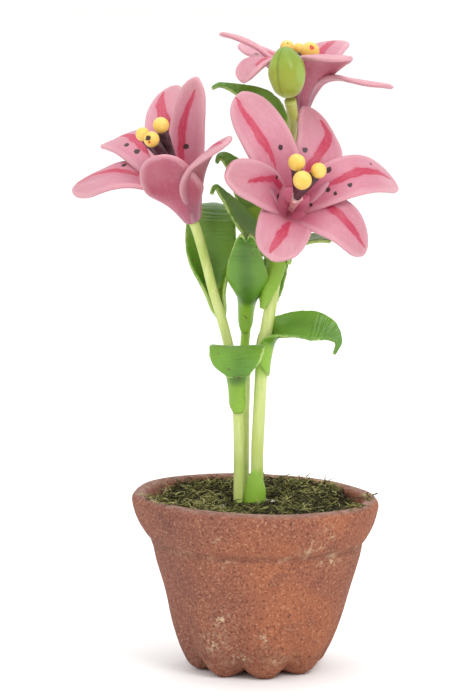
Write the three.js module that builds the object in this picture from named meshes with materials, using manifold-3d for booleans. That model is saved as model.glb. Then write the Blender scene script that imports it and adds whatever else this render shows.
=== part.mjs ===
// Potted lily, a hand-made miniature: three open pink lilies and one bud on three stems, with
// clasping leaves, standing in moss in a lobed terracotta pot. Millimetres, +Z up, the pot's
// foot at Z = 0 on the Z axis, the front of the pot toward -Y.

import * as THREE from "three";
import { mergeVertices } from "three/addons/utils/BufferGeometryUtils.js";
import Module from "manifold-3d";

const wasm = await Module();
wasm.setup();

// Main sizes

const GAP = 0.25;
const BLADE = 0.6;

const POT_HEIGHT = 19.9;
const POT_FLOOR = 2.4;
const POT_LOBES = 8;
const POT_LOBE_TURN = 9.6;
const POT_SEGMENTS = 48;
const RIM_LEAN = 0.035;

const SOIL_TOP = 17.2;
const MOSS_RADIUS = 11.45;
const STEM_FOOT = 8;
const STEM_RADIUS = 0.56;

const PETAL_HALF_WIDTH = 2.6;
const TUBE_RADIUS = 0.62;
const TUBE_ANGLE = 22;
const CORE_LENGTH = 2.6;

// Colours

const TERRACOTTA = 0xa5614c;
const EARTH = 0x35291d;
const MOSS = 0x54551f;
const STEM_GREEN = 0xb4cc62;
const LEAF_GREEN = 0x4c8a2c;
const BUD_GREEN = 0x9dba48;
const PETAL_PINK = 0xd4869b;
const ANTHER_YELLOW = 0xf3d457;
const FILAMENT_BROWN = 0x46292f;
const PISTIL_PINK = 0xe6bfb9;

// Shared helpers

const vec = (p) => new THREE.Vector3(...p);

const smooth = (x) => {
  const c = Math.min(1, Math.max(0, x));
  return c * c * (3 - 2 * c);
};

// A smooth value at t from a short list spread evenly over 0..1.
function blend(list, t) {
  const last = list.length - 1;
  const s = Math.min(last, Math.max(0, t * last));
  const i = Math.min(last - 1, Math.floor(s));
  const f = s - i;
  const a = list[Math.max(0, i - 1)];
  const b = list[i];
  const c = list[i + 1];
  const d = list[Math.min(last, i + 2)];
  const bend = 2 * a - 5 * b + 4 * c - d;
  return b + 0.5 * f * (c - a + f * (bend + f * (3 * (b - c) + d - a)));
}

// The same for a list of directions.
function blendVector(list, t) {
  return new THREE.Vector3(
    ...[0, 1, 2].map((axis) => blend(list.map((v) => v[axis]), t)),
  );
}

// Repeatable scatter between -1 and 1.
function scatter(seed) {
  let state = seed;
  return () => {
    state = (state * 1664525 + 1013904223) % 4294967296;
    return state / 2147483648 - 1;
  };
}

// The same geometry with one vertex where several met.
function welded(geometry) {
  const bare = geometry.clone();
  bare.deleteAttribute("normal");
  bare.deleteAttribute("uv");
  return mergeVertices(bare, 1e-4);
}

function solid(geometry) {
  const merged = welded(geometry);
  return new wasm.Manifold(
    new wasm.Mesh({
      numProp: 3,
      vertProperties: new Float32Array(merged.attributes.position.array),
      triVerts: new Uint32Array(merged.index.array),
    }),
  );
}

function geometryOf(body) {
  const mesh = body.getMesh();
  const geometry = new THREE.BufferGeometry();
  const points = new THREE.BufferAttribute(new Float32Array(mesh.vertProperties), 3);
  geometry.setAttribute("position", points);
  geometry.setIndex(new THREE.BufferAttribute(new Uint32Array(mesh.triVerts), 1));
  return geometry;
}

const union = (bodies) => bodies.reduce((whole, body) => whole.add(body));

// The main piece of a body, without loose scraps or sealed pockets.
const mainPiece = (body) =>
  body.decompose().reduce((best, piece) => (piece.volume() > best.volume() ? piece : best));

const clearOf = (body, others) =>
  mainPiece(others.reduce((rest, other) => rest.subtract(other), body));

// Moves each vertex of a geometry to where `place` puts it.
function reshape(geometry, place) {
  const points = geometry.attributes.position;
  const v = new THREE.Vector3();
  for (let i = 0; i < points.count; i += 1) {
    v.fromBufferAttribute(points, i);
    place(v, i);
    points.setXYZ(i, v.x, v.y, v.z);
  }
  return geometry;
}

// Turns a geometry so that its Y axis runs along `axis`, with its middle at `centre`.
function aim(geometry, centre, axis) {
  const turn = new THREE.Quaternion();
  turn.setFromUnitVectors(new THREE.Vector3(0, 1, 0), axis.clone().normalize());
  return geometry.applyQuaternion(turn).translate(...centre.toArray());
}

// A sheet of even thickness round the middle surface middle(u, t), u from -1 to 1 across and t
// from 0 to 1 along. Both faces carry the same triangles, and walls close its edge.
function sheet(middle, cols, rows) {
  const plane = new THREE.PlaneGeometry(2, 1, cols, rows);
  const grid = plane.attributes.position;
  const count = grid.count;
  const above = [];
  const below = [];
  const step = 0.004;
  for (let i = 0; i < count; i += 1) {
    const u = grid.getX(i);
    const t = grid.getY(i) + 0.5;
    const across = middle(u + step, t).sub(middle(u - step, t));
    const along = middle(u, Math.min(1, t + step)).sub(middle(u, Math.max(0, t - step)));
    const half = across.cross(along).normalize().multiplyScalar(BLADE / 2);
    const point = middle(u, t);
    above.push(...point.clone().add(half).toArray());
    below.push(...point.sub(half).toArray());
  }
  const index = [];
  const face = plane.index.array;
  for (let i = 0; i < face.length; i += 3) {
    const [a, b, c] = [face[i], face[i + 1], face[i + 2]];
    index.push(a, b, c, a + count, c + count, b + count);
  }
  const edge = [];
  for (let c = 0; c < cols; c += 1) edge.push(c);
  for (let r = 0; r < rows; r += 1) edge.push(r * (cols + 1) + cols);
  for (let c = cols; c > 0; c -= 1) edge.push(rows * (cols + 1) + c);
  for (let r = rows; r > 0; r -= 1) edge.push(r * (cols + 1));
  edge.forEach((a, i) => {
    const b = edge[(i + 1) % edge.length];
    index.push(a, b, a + count, b, b + count, a + count);
  });
  const geometry = new THREE.BufferGeometry();
  const points = new Float32Array([...above, ...below]);
  geometry.setAttribute("position", new THREE.BufferAttribute(points, 3));
  geometry.setIndex(index);
  return geometry;
}

// A blade on a midrib: spine(t) gives its point, side and normal. The section is an arc of the
// given curvature (bow, 1/mm), folded a little along the midrib, with a wave toward its edges.
function blade(spine, shape, cols, rows) {
  const middle = (u, t) => {
    const { point, side, normal } = spine(t);
    const bow = blend(shape.bow, t) || 1e-6;
    const fold = blend(shape.fold ?? [0, 0], t);
    const x = u * blend(shape.width, t);
    const wave = (shape.wave ?? 0) * smooth(t * 2) * u * u;
    const lift = wave * Math.sin(9 * t + 2.5 * Math.sign(u) + (shape.phase ?? 0));
    const up = (1 - Math.cos(bow * x)) / bow + fold * Math.abs(x) + lift;
    return point.addScaledVector(side, Math.sin(bow * x) / bow).addScaledVector(normal, up);
  };
  return sheet(middle, cols, rows);
}

// A midrib drawn through points, with the directions its upper face looks in.
function drawnSpine(points, facing) {
  const curve = new THREE.CatmullRomCurve3(points.map(vec), false, "centripetal");
  return (t) => {
    const point = curve.getPointAt(t);
    const along = curve.getTangentAt(t);
    const side = along.clone().cross(blendVector(facing, t)).normalize();
    return { point, side, normal: side.clone().cross(along) };
  };
}

// A round stem along a curve, its radius from a short list.
function stalk(points, radii, grow = 0, sides = 10, rows = 18) {
  const curve = new THREE.CatmullRomCurve3(points.map(vec), false, "centripetal");
  const frames = curve.computeFrenetFrames(rows, false);
  const rod = new THREE.CylinderGeometry(1, 1, 1, sides, rows);
  return reshape(rod, (v) => {
    const t = v.y + 0.5;
    const i = Math.round(t * rows);
    const radius = blend(radii, t) + grow;
    const { x, z } = v;
    v.copy(curve.getPointAt(t));
    v.addScaledVector(frames.normals[i], z * radius);
    v.addScaledVector(frames.binormals[i], x * radius);
  });
}

const part = new THREE.Group();
part.name = "potted_lily";

function addNode(name, geometry, color, roughness) {
  const faceted = geometry.index ? geometry.toNonIndexed() : geometry.clone();
  faceted.computeVertexNormals();
  const material = new THREE.MeshStandardMaterial({ color, roughness, metalness: 0 });
  const mesh = new THREE.Mesh(faceted, material);
  mesh.name = name;
  part.add(mesh);
}

// Pot: a turned wall, pressed into eight lobes that are deepest at the foot and fade upward to
// a rim band with a soft groove under it

const potOutside = [
  [2.6, 0], [5.0, 0], [6.7, 0.05], [7.6, 0.7], [8.3, 1.9], [9.0, 3.6], [9.75, 6.0],
  [10.55, 9.3], [11.5, 12.5],
  [11.95, 14.3], [12.5, 15.3], [13.25, 16.6], [13.8, 18.2], [13.9, 19.2], [13.5, 19.8],
];
const potInside = [
  [12.8, 19.9], [12.2, 19.5], [11.95, 18.6], [11.0, 15.4], [9.6, 9.8], [7.6, 4.4],
  [6.2, POT_FLOOR],
];

// Presses the lobes in by `share`, leans the rim and lets the wall swell a little to +X.
function lobed(v, share) {
  // The angle runs from the front of the pot toward +X.
  const turn = THREE.MathUtils.degToRad(POT_LOBE_TURN);
  const angle = Math.atan2(v.x, -v.y) - turn;
  const radius = Math.hypot(v.x, v.y) || 1;
  const height = v.z / POT_HEIGHT;
  const depth = 0.25 + 0.95 * (1 - smooth(height / 0.55));
  const between = 1 - Math.abs(Math.cos((POT_LOBES / 2) * angle));
  const notch = between * share * smooth((radius - 2.6) / 3);
  v.x *= 1 - (notch * depth) / radius;
  v.y *= 1 - (notch * depth) / radius;
  v.z += notch * 0.85 * (1 - smooth(height / 0.14));
  v.z -= RIM_LEAN * v.x * smooth((height - 0.6) / 0.4);
  v.x += 0.28 * smooth(height / 0.5) * (1 - smooth((height - 0.72) / 0.2));
}

function buildPot() {
  const profile = [[0, 0], ...potOutside, ...potInside, [0, POT_FLOOR]];
  const points = profile.map(([r, z]) => new THREE.Vector2(r, z));
  const turn = THREE.MathUtils.degToRad(POT_LOBE_TURN);
  const wall = new THREE.LatheGeometry(points, POT_SEGMENTS, turn).rotateX(Math.PI / 2);
  reshape(wall, (v, i) => {
    const inward = (i % profile.length) - potOutside.length;
    lobed(v, 1 - smooth(inward / 3));
  });
  addNode("pot", geometryOf(solid(wall)), TERRACOTTA, 0.9);
}

// Blooms: six petals round a short funnel core, each petal's midrib bent outward from the
// bloom's axis. A petal is [turn round the axis, length, flare, reach of the bend along the
// petal, sideways lean, width factor, roll], angles in degrees.

const petalWidth = [0.3, 0.5, 0.72, 0.9, 1.0, 1.03, 1.0, 0.92, 0.7, 0.16];
const petalBow = [0.95, 0.75, 0.45, 0.2, 0.04, -0.06, -0.1, -0.12, -0.08, 0];
const petalFold = [0, 0, 0.03, 0.06, 0.08, 0.1, 0.1, 0.08, 0.04, 0];

const blooms = {
  front: {
    base: [3.26, -1.5, 50.9],
    axis: [0.23, -0.795, 0.561],
    up: [0, 0, 1],
    petals: [
      [37, 17.3, 106, 0.81, -29, 1.12, -6],
      [-50, 15.9, 114, 0.62, 74, 1.02, 0],
      [-71, 17.6, 136, 0.74, -17, 0.95, 0],
      [-123, 12.9, 138, 0.77, -6, 1.03, 0],
      [147, 11.0, 100, 0.8, 11, 1.15, 0],
      [68, 14.9, 50, 0.62, 40, 0.95, 0],
    ],
    filamentRoot: 5.7,
    anthers: [[4.4, -9, 58.1, 0.95], [6.8, -9, 57.2, 0.86], [5, -10.5, 56.3, 1.04]],
  },
  left: {
    base: [-6.96, -1.5, 51.0],
    axis: [-0.3, -0.356, 0.885],
    up: [0, 0, 1],
    petals: [
      [119, 16.6, 105, 0.63, -27, 1.12, 0],
      [60, 17.9, 118, 0.82, 29, 1.1, 0],
      [50, 18.3, 84, 0.73, -34, 0.95, 0],
      [19, 15.9, 24, 0.9, -29, 0.8, 0],
      [-93, 16.8, 72, 0.9, -12, 1.0, 0],
      [199, 12.5, 24, 0.9, 0, 1.2, 0],
    ],
    filamentRoot: 6.4,
    anthers: [[-10.4, -6, 61.9, 0.9], [-12.4, -6, 60.9, 0.78], [-11.4, -7.7, 60.5, 0.87]],
  },
  top: {
    base: [4.9, 5.2, 62.25],
    axis: [0.04, 0.06, 1.0],
    up: [0, -1, 0],
    petals: [
      [-92, 13.2, 98, 1.1, 0, 0.85, 0],
      [-145, 14.2, 78, 0.54, 1, 1.0, 0],
      [-50, 13.4, 165, 1.0, 16, 0.95, 0],
      [150, 13.0, 88, 0.94, 2, 1.02, 0],
      [21, 12.1, 106, 0.93, 17, 1.2, 0],
      [90, 12.2, 97, 0.42, 0, 0.85, 0],
    ],
    filamentRoot: 4.2,
    anthers: [[6.1, 4.4, 69.35, 1.05], [3.55, 5.6, 69.7, 0.8], [4.9, 7.2, 69.3, 0.8]],
  },
};

function bloomFrame({ base, axis, up }) {
  const along = vec(axis).normalize();
  const first = vec(up).addScaledVector(along, -vec(up).dot(along)).normalize();
  return { root: vec(base), along, first, second: along.clone().cross(first) };
}

function petalSpine(frame, [turn, length, flare, reach, lean, , roll]) {
  const steps = 60;
  const rad = THREE.MathUtils.degToRad;
  const outward = frame.first.clone().multiplyScalar(Math.cos(rad(turn)));
  outward.addScaledVector(frame.second, Math.sin(rad(turn)));
  const sideways = frame.along.clone().cross(outward);
  const heading = (t) => {
    const bend = rad(TUBE_ANGLE + (flare - TUBE_ANGLE) * smooth((t - 0.15) / reach));
    const drift = rad(lean) * t ** 1.5;
    const along = frame.along.clone().multiplyScalar(Math.cos(bend));
    along.addScaledVector(outward, Math.sin(bend)).multiplyScalar(Math.cos(drift));
    along.addScaledVector(sideways, Math.sin(drift));
    const inward = frame.along.clone().multiplyScalar(Math.sin(bend));
    inward.addScaledVector(outward, -Math.cos(bend));
    inward.applyAxisAngle(along, rad(roll) * smooth(t * 1.5));
    const side = along.clone().cross(inward).normalize();
    return { along, side, normal: side.clone().cross(along) };
  };
  const points = [frame.root.clone().addScaledVector(outward, TUBE_RADIUS)];
  for (let i = 0; i < steps; i += 1) {
    const { along } = heading((i + 0.5) / steps);
    points.push(points[i].clone().addScaledVector(along, length / steps));
  }
  return (t) => {
    const s = Math.min(steps - 1, Math.floor(t * steps));
    const point = points[s].clone().lerp(points[s + 1], t * steps - s);
    return { point, ...heading(t) };
  };
}

function buildBloom(name, bloom) {
  const frame = bloomFrame(bloom);
  const petals = bloom.petals.map((petal, i) => {
    const width = petalWidth.map((w) => w * petal[5] * PETAL_HALF_WIDTH);
    const shape = { width, bow: petalBow, fold: petalFold, wave: 0.12, phase: i * 1.7 };
    return solid(blade(petalSpine(frame, petal), shape, 4, 9));
  });
  const flare = Math.tan(THREE.MathUtils.degToRad(TUBE_ANGLE));
  const wide = TUBE_RADIUS + CORE_LENGTH * flare;
  const funnel = new THREE.CylinderGeometry(wide, TUBE_RADIUS, CORE_LENGTH, 12);
  const middle = frame.root.clone().addScaledVector(frame.along, CORE_LENGTH / 2);
  const body = mainPiece(union([solid(aim(funnel, middle, frame.along)), ...petals]));
  addNode(`${name}_bloom`, geometryOf(body), PETAL_PINK, 0.5);

  const top = frame.root.clone().addScaledVector(frame.along, bloom.filamentRoot);
  const filaments = bloom.anthers.map(([x, y, z, r]) => {
    const run = new THREE.Vector3(x, y, z).sub(top);
    const length = run.length() - r - GAP;
    run.normalize();
    const cone = new THREE.CylinderGeometry(0.52, 0.3, length, 8);
    return solid(aim(cone, top.clone().addScaledVector(run, length / 2), run));
  });
  addNode(`${name}_filaments`, geometryOf(union(filaments)), FILAMENT_BROWN, 0.6);

  bloom.anthers.forEach(([x, y, z, r], i) => {
    const ball = new THREE.SphereGeometry(r, 10, 7).translate(x, y, z);
    addNode(`${name}_anther_${i + 1}`, geometryOf(solid(ball)), ANTHER_YELLOW, 0.45);
  });

  const low = CORE_LENGTH + GAP;
  const high = bloom.filamentRoot - 0.3 - GAP;
  const column = new THREE.CylinderGeometry(0.55, 0.36, high - low, 9);
  const seat = frame.root.clone().addScaledVector(frame.along, (low + high) / 2);
  addNode(`${name}_pistil`, geometryOf(solid(aim(column, seat, frame.along))), PISTIL_PINK, 0.6);
}

// Stems: each rises from the soil and turns into the axis of its bloom

const stems = {
  left: {
    points: [
      [-1.9, -0.7, STEM_FOOT], [-1.9, -0.7, 18.9], [-2.0, -0.7, 29.2], [-2.4, -0.8, 33.5],
      [-3.1, -0.8, 37.2], [-4.0, -0.8, 40.6], [-4.7, -0.75, 42.8], [-5.6, -0.65, 46.4],
    ],
    bloom: "left",
  },
  middle: {
    points: [
      [-1.2, 1.2, STEM_FOOT], [-1.2, 1.2, 18.6], [-1.2, 1.2, 26.9], [-1.1, 1.2, 32.6],
      [-1.2, 1.2, 36.6], [-0.8, 1.3, 40.3], [-0.1, 1.5, 45.1], [1.4, 1.9, 50.6],
      [3.0, 3.4, 56.2],
    ],
    bloom: "top",
  },
  right: {
    points: [
      [0.2, -0.9, STEM_FOOT], [0.2, -0.9, 18.9], [0.2, -0.9, 24.4], [0.6, -1.0, 33],
      [0.9, -1.0, 36.9], [1.4, -1.0, 39.7], [1.8, -0.85, 42], [2.3, -0.5, 45.2],
      [2.7, -0.15, 48.0],
    ],
    bloom: "front",
  },
};

// The stem's last stretch lies on the bloom's axis.
function stemPoints({ points, bloom }) {
  const { root, along } = bloomFrame(blooms[bloom]);
  const onAxis = [1.4, GAP + 0.15].map((d) => root.clone().addScaledVector(along, -d).toArray());
  return [...points, ...onAxis];
}

const stemRadii = {
  left: [1.05, 1.05, 1, 1, 1, 0.98, 0.98],
  middle: [0.9, 0.9, 0.9, 0.9, 0.95, 0.95, 0.95],
  right: [1.27, 1.27, 1.27, 1.25, 1.25, 1.2, 1.1],
};

// A stem, or the room it needs when it is grown on all sides.
const stemBody = (name, grow) => {
  const radii = stemRadii[name].map((k) => k * STEM_RADIUS);
  const [[x, y, z], ...rest] = stemPoints(stems[name]);
  return solid(stalk([[x, y, z - grow], ...rest], radii, grow));
};

const pedicelPoints = [[3.2, 3.6, 57.0], [3.9, 2.2, 60.0], [3.85, -0.6, 62.6], [3.68, -1.85, 64.3]];

// Bud: an egg with six shallow seams and a blunt tip

const BUD_CENTRE = [3.45, -2.6, 67.45];
const BUD_AXIS = [-0.06, -0.08, 1];

function buildBud() {
  const egg = new THREE.SphereGeometry(1, 24, 12);
  reshape(egg, (v) => {
    const angle = Math.atan2(v.x, v.z);
    const round = Math.hypot(v.x, v.z);
    const seam = 1 - 0.13 * (1 - Math.abs(Math.sin(3 * angle))) ** 2 * round;
    const taper = 1 - 0.1 * v.y - 0.12 * Math.max(0, v.y) ** 2;
    v.x *= 2.1 * seam * taper;
    v.z *= 2.1 * seam * taper;
    v.y *= 2.85;
  });
  addNode("bud", geometryOf(solid(aim(egg, vec(BUD_CENTRE), vec(BUD_AXIS)))), BUD_GREEN, 0.5);
}

// Leaves: midrib points, the directions that the upper face looks in, half widths and the
// curvature of the section, each list spread evenly from the base to the tip

const leaves = {
  leaf_left_large: {
    points: [
      [-4.1, 0.35, 40.7], [-4.45, 0.8, 42.3], [-4.8, 1.6, 44.8], [-5.05, 2.3, 47.5],
      [-5.0, 3.1, 50.0], [-4.8, 4.5, 51.7], [-4.6, 6.4, 52.0],
    ],
    facing: [[0, -1, 0], [0, -1, 0.1], [0.05, -1, 0.2], [0, -0.8, 0.6], [0, -0.2, 1]],
    width: [0.95, 2.3, 2.95, 2.95, 2.7, 1.9, 0.3],
    bow: [0.85, 0.55, 0.26, 0.16, 0.1, 0, 0],
  },
  leaf_left_front: {
    points: [
      [-2.1, -1.85, 33.2], [-2.1, -2.4, 35.0], [-2.1, -3.2, 36.5], [-2.1, -4.5, 37.1],
      [-2.05, -5.8, 36.6], [-2.0, -6.7, 35.5], [-1.9, -7.1, 34.2],
    ],
    facing: [[0, 0.95, 0.3], [0, 0.4, 0.9], [-0.1, -0.3, 1], [-0.25, -1, 0.3]],
    width: [0.9, 1.8, 2.6, 3.0, 3.1, 2.7, 1.2],
    bow: [0.8, 0.4, 0.12, 0.04, 0.04, 0.08, 0.1],
  },
  leaf_middle: {
    points: [
      [-1.05, -0.15, 40.3], [-0.95, -1.2, 41.9], [-1.0, -2.1, 43.9], [-1.1, -2.7, 46.5],
      [-1.1, -3.2, 48.7], [-1.1, -4.4, 49.6], [-1.1, -5.3, 49.0],
    ],
    facing: [[0.1, 1, 0], [0.1, 1, 0], [0.1, 1, 0.2], [0, 0.7, 0.7], [0, -0.1, 1]],
    width: [0.75, 1.9, 2.4, 2.0, 1.4, 1.0, 0.3],
    bow: [0.7, 0.3, 0.2, 0.15, 0.1, 0.1, 0.1],
  },
  leaf_right_upper: {
    points: [
      [1.25, 0.2, 40.8], [1.5, 0.4, 42.5], [1.8, 0.8, 44.2], [2.3, 1.6, 45.9],
      [2.8, 2.8, 47.5], [3.2, 4.3, 48.3],
    ],
    facing: [[0.3, -1, 0], [0.2, -1, 0.2], [0, -0.9, 0.5], [0, -0.5, 0.9]],
    width: [0.7, 1.3, 1.55, 1.4, 1.0, 0.3],
    bow: [0.7, 0.5, 0.35, 0.2, 0.1, 0.1],
  },
  leaf_right_large: {
    points: [
      [1.8, -0.95, 35.9], [2.05, -1.05, 37.4], [2.9, -1.35, 38.55], [4.6, -1.8, 39.25],
      [6.5, -2.2, 39.2], [8.3, -2.5, 38.6], [9.2, -2.8, 37.5], [8.7, -3.0, 36.1],
    ],
    facing: [[-1, -0.1, 0], [-0.5, -0.5, 0.6], [-0.1, -0.8, 0.65], [0.1, -0.8, 0.65], [0.9, -0.6, 0.2]],
    width: [1.1, 1.8, 1.8, 1.85, 1.9, 1.5, 0.8, 0.25],
    bow: [0.75, 0.45, 0.15, 0.05, 0.02, 0.05, 0.1, 0.1],
  },
  leaf_top: {
    points: [
      [2.7, 4.6, 59.3], [2.3, 4.6, 61.2], [1.0, 4.2, 63.0], [-0.8, 4.0, 64.5],
      [-2.6, 4.0, 65.3], [-4.0, 4.0, 65.6], [-4.9, 4.1, 65.2],
    ],
    facing: [[0, -1, 0], [0.1, -0.9, 0.3], [0.2, -0.8, 0.6], [0.1, -0.6, 0.8]],
    width: [0.8, 1.5, 1.9, 1.7, 0.95, 0.45, 0.25],
    bow: [0.6, 0.3, 0.15, 0.1, 0.1, 0.1, 0.1],
  },
  leaf_behind: {
    points: [
      [0.5, 2.8, 50.6], [-0.3, 2.6, 53.0], [-1.4, 2.5, 55.2], [-2.7, 2.6, 57.0],
      [-3.9, 2.8, 57.8], [-4.4, 2.9, 56.9],
    ],
    facing: [[0.2, -1, 0], [0.2, -0.9, 0.3], [0.2, -0.7, 0.7], [-0.5, -0.5, 0.7]],
    width: [0.8, 1.8, 2.0, 1.6, 0.8, 0.25],
    bow: [0.6, 0.3, 0.2, 0.1, 0.1, 0.1],
  },
  leaf_right_left: {
    points: [
      [1.25, -0.8, 46.6], [0.5, -0.3, 47.9], [-0.7, 0.0, 49.8], [-2.2, -0.2, 51.9],
      [-3.6, -0.6, 53.7], [-4.5, -1.0, 54.7], [-4.9, -1.2, 53.8],
    ],
    facing: [[0.9, 0, 0.3], [0.6, -0.5, 0.6], [0.4, -0.6, 0.7], [0.3, -0.6, 0.7]],
    width: [0.8, 1.6, 1.8, 1.6, 1.1, 0.5, 0.25],
    bow: [0.6, 0.3, 0.15, 0.1, 0.1, 0.1, 0.1],
  },
  leaf_right_small: {
    points: [
      [3.7, -0.6, 45.9], [4.2, -0.4, 47.5], [5.4, -0.3, 48.5], [7.0, -0.6, 48.8],
      [8.4, -1.0, 48.5],
    ],
    facing: [[-1, 0, 0.2], [-0.5, -0.2, 0.8], [0, -0.2, 1]],
    width: [0.7, 1.2, 1.4, 1.0, 0.25],
    bow: [0.6, 0.3, 0.15, 0.1, 0.1],
  },
};

function buildLeaves(clearance) {
  Object.entries(leaves).forEach(([name, leaf]) => {
    const body = solid(blade(drawnSpine(leaf.points, leaf.facing), leaf, 4, 10));
    addNode(name, geometryOf(clearOf(body, clearance)), LEAF_GREEN, 0.4);
  });
}

// Soil and moss: a fill inside the pot and a rough mat on it, both with plain holes for stems

function buildGround(clearance) {
  const fill = [
    [0, POT_FLOOR + GAP], [5.6, POT_FLOOR + GAP], [7.0, 4.7], [9.0, 9.8], [10.45, 15.4],
    [10.95, SOIL_TOP], [0, SOIL_TOP],
  ];
  const points = fill.map(([r, z]) => new THREE.Vector2(r, z));
  const soil = new THREE.LatheGeometry(points, 32).rotateX(Math.PI / 2);
  addNode("soil", geometryOf(clearOf(solid(soil), clearance)), EARTH, 1);

  const base = SOIL_TOP + GAP;
  const rings = [MOSS_RADIUS, 10.8, 9.4, 7.6, 5.7, 3.7, 1.7];
  const mat = [
    [0, base], [MOSS_RADIUS - 0.4, base],
    ...rings.map((r, i) => [r, base + (i ? 1.1 : 0.5)]), [0, base + 1.2],
  ];
  const random = scatter(11);
  const turned = new THREE.LatheGeometry(mat.map(([r, z]) => new THREE.Vector2(r, z)), 30);
  const moss = reshape(welded(turned.rotateX(Math.PI / 2)), (v) => {
    if (v.z < base + 0.1) return;
    const lift = random();
    const shift = random();
    const radius = Math.hypot(v.x, v.y) / MOSS_RADIUS;
    const mound = 0.9 * smooth((v.y / MOSS_RADIUS + 0.4) / 1.2);
    v.z += (0.45 * lift + mound) * (radius > 0.98 ? 0.4 : 1);
    const bare = 0.14 * smooth((v.x / MOSS_RADIUS - 0.6) / 0.35) * (1 - smooth(v.y / 6));
    v.x *= 1 + (0.025 * shift - 0.02) * radius - bare;
    v.y *= 1 + (0.025 * shift - 0.02) * radius;
  });
  addNode("moss", geometryOf(clearOf(solid(moss), clearance)), MOSS, 1);
}

// Everything in place

buildPot();
const inflated = Object.keys(stems).map((name) => stemBody(name, GAP));
buildGround(inflated);
addNode("left_stem", geometryOf(stemBody("left", 0)), STEM_GREEN, 0.5);
const pedicel = solid(stalk(pedicelPoints, [0.5, 0.5, 0.55], 0, 10, 8));
addNode("middle_stem", geometryOf(stemBody("middle", 0).add(pedicel)), STEM_GREEN, 0.5);
addNode("right_stem", geometryOf(stemBody("right", 0)), STEM_GREEN, 0.5);
buildLeaves(inflated);
Object.entries(blooms).forEach(([name, bloom]) => buildBloom(name, bloom));
buildBud();

export default part;
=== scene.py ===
"""Potted lily, a handmade clay miniature: three pink lilies and a bud in a mossy terracotta pot."""

import math
import random
from functools import lru_cache

import bmesh
import bpy
from mathutils import Matrix, Vector, noise


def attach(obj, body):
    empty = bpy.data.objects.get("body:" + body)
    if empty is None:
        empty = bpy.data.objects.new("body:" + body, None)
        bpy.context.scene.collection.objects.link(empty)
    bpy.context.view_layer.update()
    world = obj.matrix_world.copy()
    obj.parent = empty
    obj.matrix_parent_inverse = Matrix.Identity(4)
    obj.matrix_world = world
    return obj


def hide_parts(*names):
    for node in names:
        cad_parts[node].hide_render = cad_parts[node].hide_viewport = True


bl_info = {
    "name": "Potted lily miniature",
    "version": (1, 0, 0),
    "blender": (4, 5, 0),
    "location": "3D View > Sidebar > Lily",
    "description": "Dresses a handmade miniature lily in its terracotta pot",
    "category": "Object",
}

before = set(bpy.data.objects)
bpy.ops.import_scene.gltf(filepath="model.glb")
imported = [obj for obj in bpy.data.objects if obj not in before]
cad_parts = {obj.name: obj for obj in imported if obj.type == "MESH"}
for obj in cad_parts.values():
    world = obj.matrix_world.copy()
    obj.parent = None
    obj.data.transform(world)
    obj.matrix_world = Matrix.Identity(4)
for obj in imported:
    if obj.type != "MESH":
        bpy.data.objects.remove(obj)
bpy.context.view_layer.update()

MM = 0.001

# Plain sums: all sizes are in millimetres until a piece is finished


def linear(colour):
    """An sRGB hex colour as linear RGBA."""
    parts = [int(colour[i:i + 2], 16) / 255 for i in (0, 2, 4)]
    bent = (c / 12.92 if c <= 0.04045 else ((c + 0.055) / 1.055) ** 2.4 for c in parts)
    return (*bent, 1.0)


def smooth(x):
    c = min(1.0, max(0.0, x))
    return c * c * (3 - 2 * c)


def sign(x):
    return (x > 0) - (x < 0)


def blend(values, t):
    """A smooth value at t from a short list spread evenly over 0..1."""
    last = len(values) - 1
    s = min(last, max(0.0, t * last))
    i = min(last - 1, int(s))
    f = s - i
    a, b, c, d = values[max(0, i - 1)], values[i], values[i + 1], values[min(last, i + 2)]
    return b + (c - a + (a * 2 - b * 5 + c * 4 - d + ((b - c) * 3 + d - a) * f) * f) * (f * 0.5)


def wander(*place, seed=0):
    """Smooth noise between -1 and 1 at a place."""
    x, y, z = (list(place) + [0, 0])[:3]
    return noise.noise(Vector((x + 17.3 * seed, y - 5.1 * seed, z + 3.7 * seed)))


def curve_through(points, steps=240):
    """Points spaced evenly along a centripetal curve through a few given ones, and its length."""
    p = [Vector(q) for q in points]
    p = [p[0] * 2 - p[1]] + p + [p[-1] * 2 - p[-2]]
    dense = []
    for i in range(1, len(p) - 2):
        a, b, c, d = p[i - 1:i + 3]
        ta, tb, tc = ((w - v).length ** 0.5 or 1.0 for v, w in ((a, b), (b, c), (c, d)))
        out = ((b - a) / ta - (c - a) / (ta + tb) + (c - b) / tb) * tb
        into = ((c - b) / tb - (d - b) / (tb + tc) + (d - c) / tc) * tb
        for k in range(40):
            s = k / 40
            dense.append(
                b * (2 * s**3 - 3 * s**2 + 1) + out * (s**3 - 2 * s**2 + s)
                + c * (3 * s**2 - 2 * s**3) + into * (s**3 - s**2)
            )
    dense.append(p[-2])
    reach = [0.0]
    for v, w in zip(dense, dense[1:]):
        reach.append(reach[-1] + (w - v).length)
    even, j = [], 0
    for k in range(steps + 1):
        want = reach[-1] * k / steps
        while j < len(dense) - 2 and reach[j + 1] < want:
            j += 1
        span = reach[j + 1] - reach[j] or 1.0
        even.append(dense[j].lerp(dense[j + 1], (want - reach[j]) / span))
    return even, reach[-1]


def drawn_spine(points, facing):
    """A midrib drawn through points, with the directions that its upper face looks in."""
    line, length = curve_through(points)
    last = len(line) - 1
    looks = [Vector(f) for f in facing]

    @lru_cache(maxsize=None)
    def spine(t):
        s = min(last - 1e-6, max(0.0, t * last))
        i = int(s)
        point = line[i].lerp(line[i + 1], s - i)
        along = (line[min(last, i + 2)] - line[max(0, i - 1)]).normalized()
        side = along.cross(blend(looks, t)).normalized()
        return point, side, side.cross(along)

    return spine, length


# Nodes, materials and finished pieces


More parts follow.
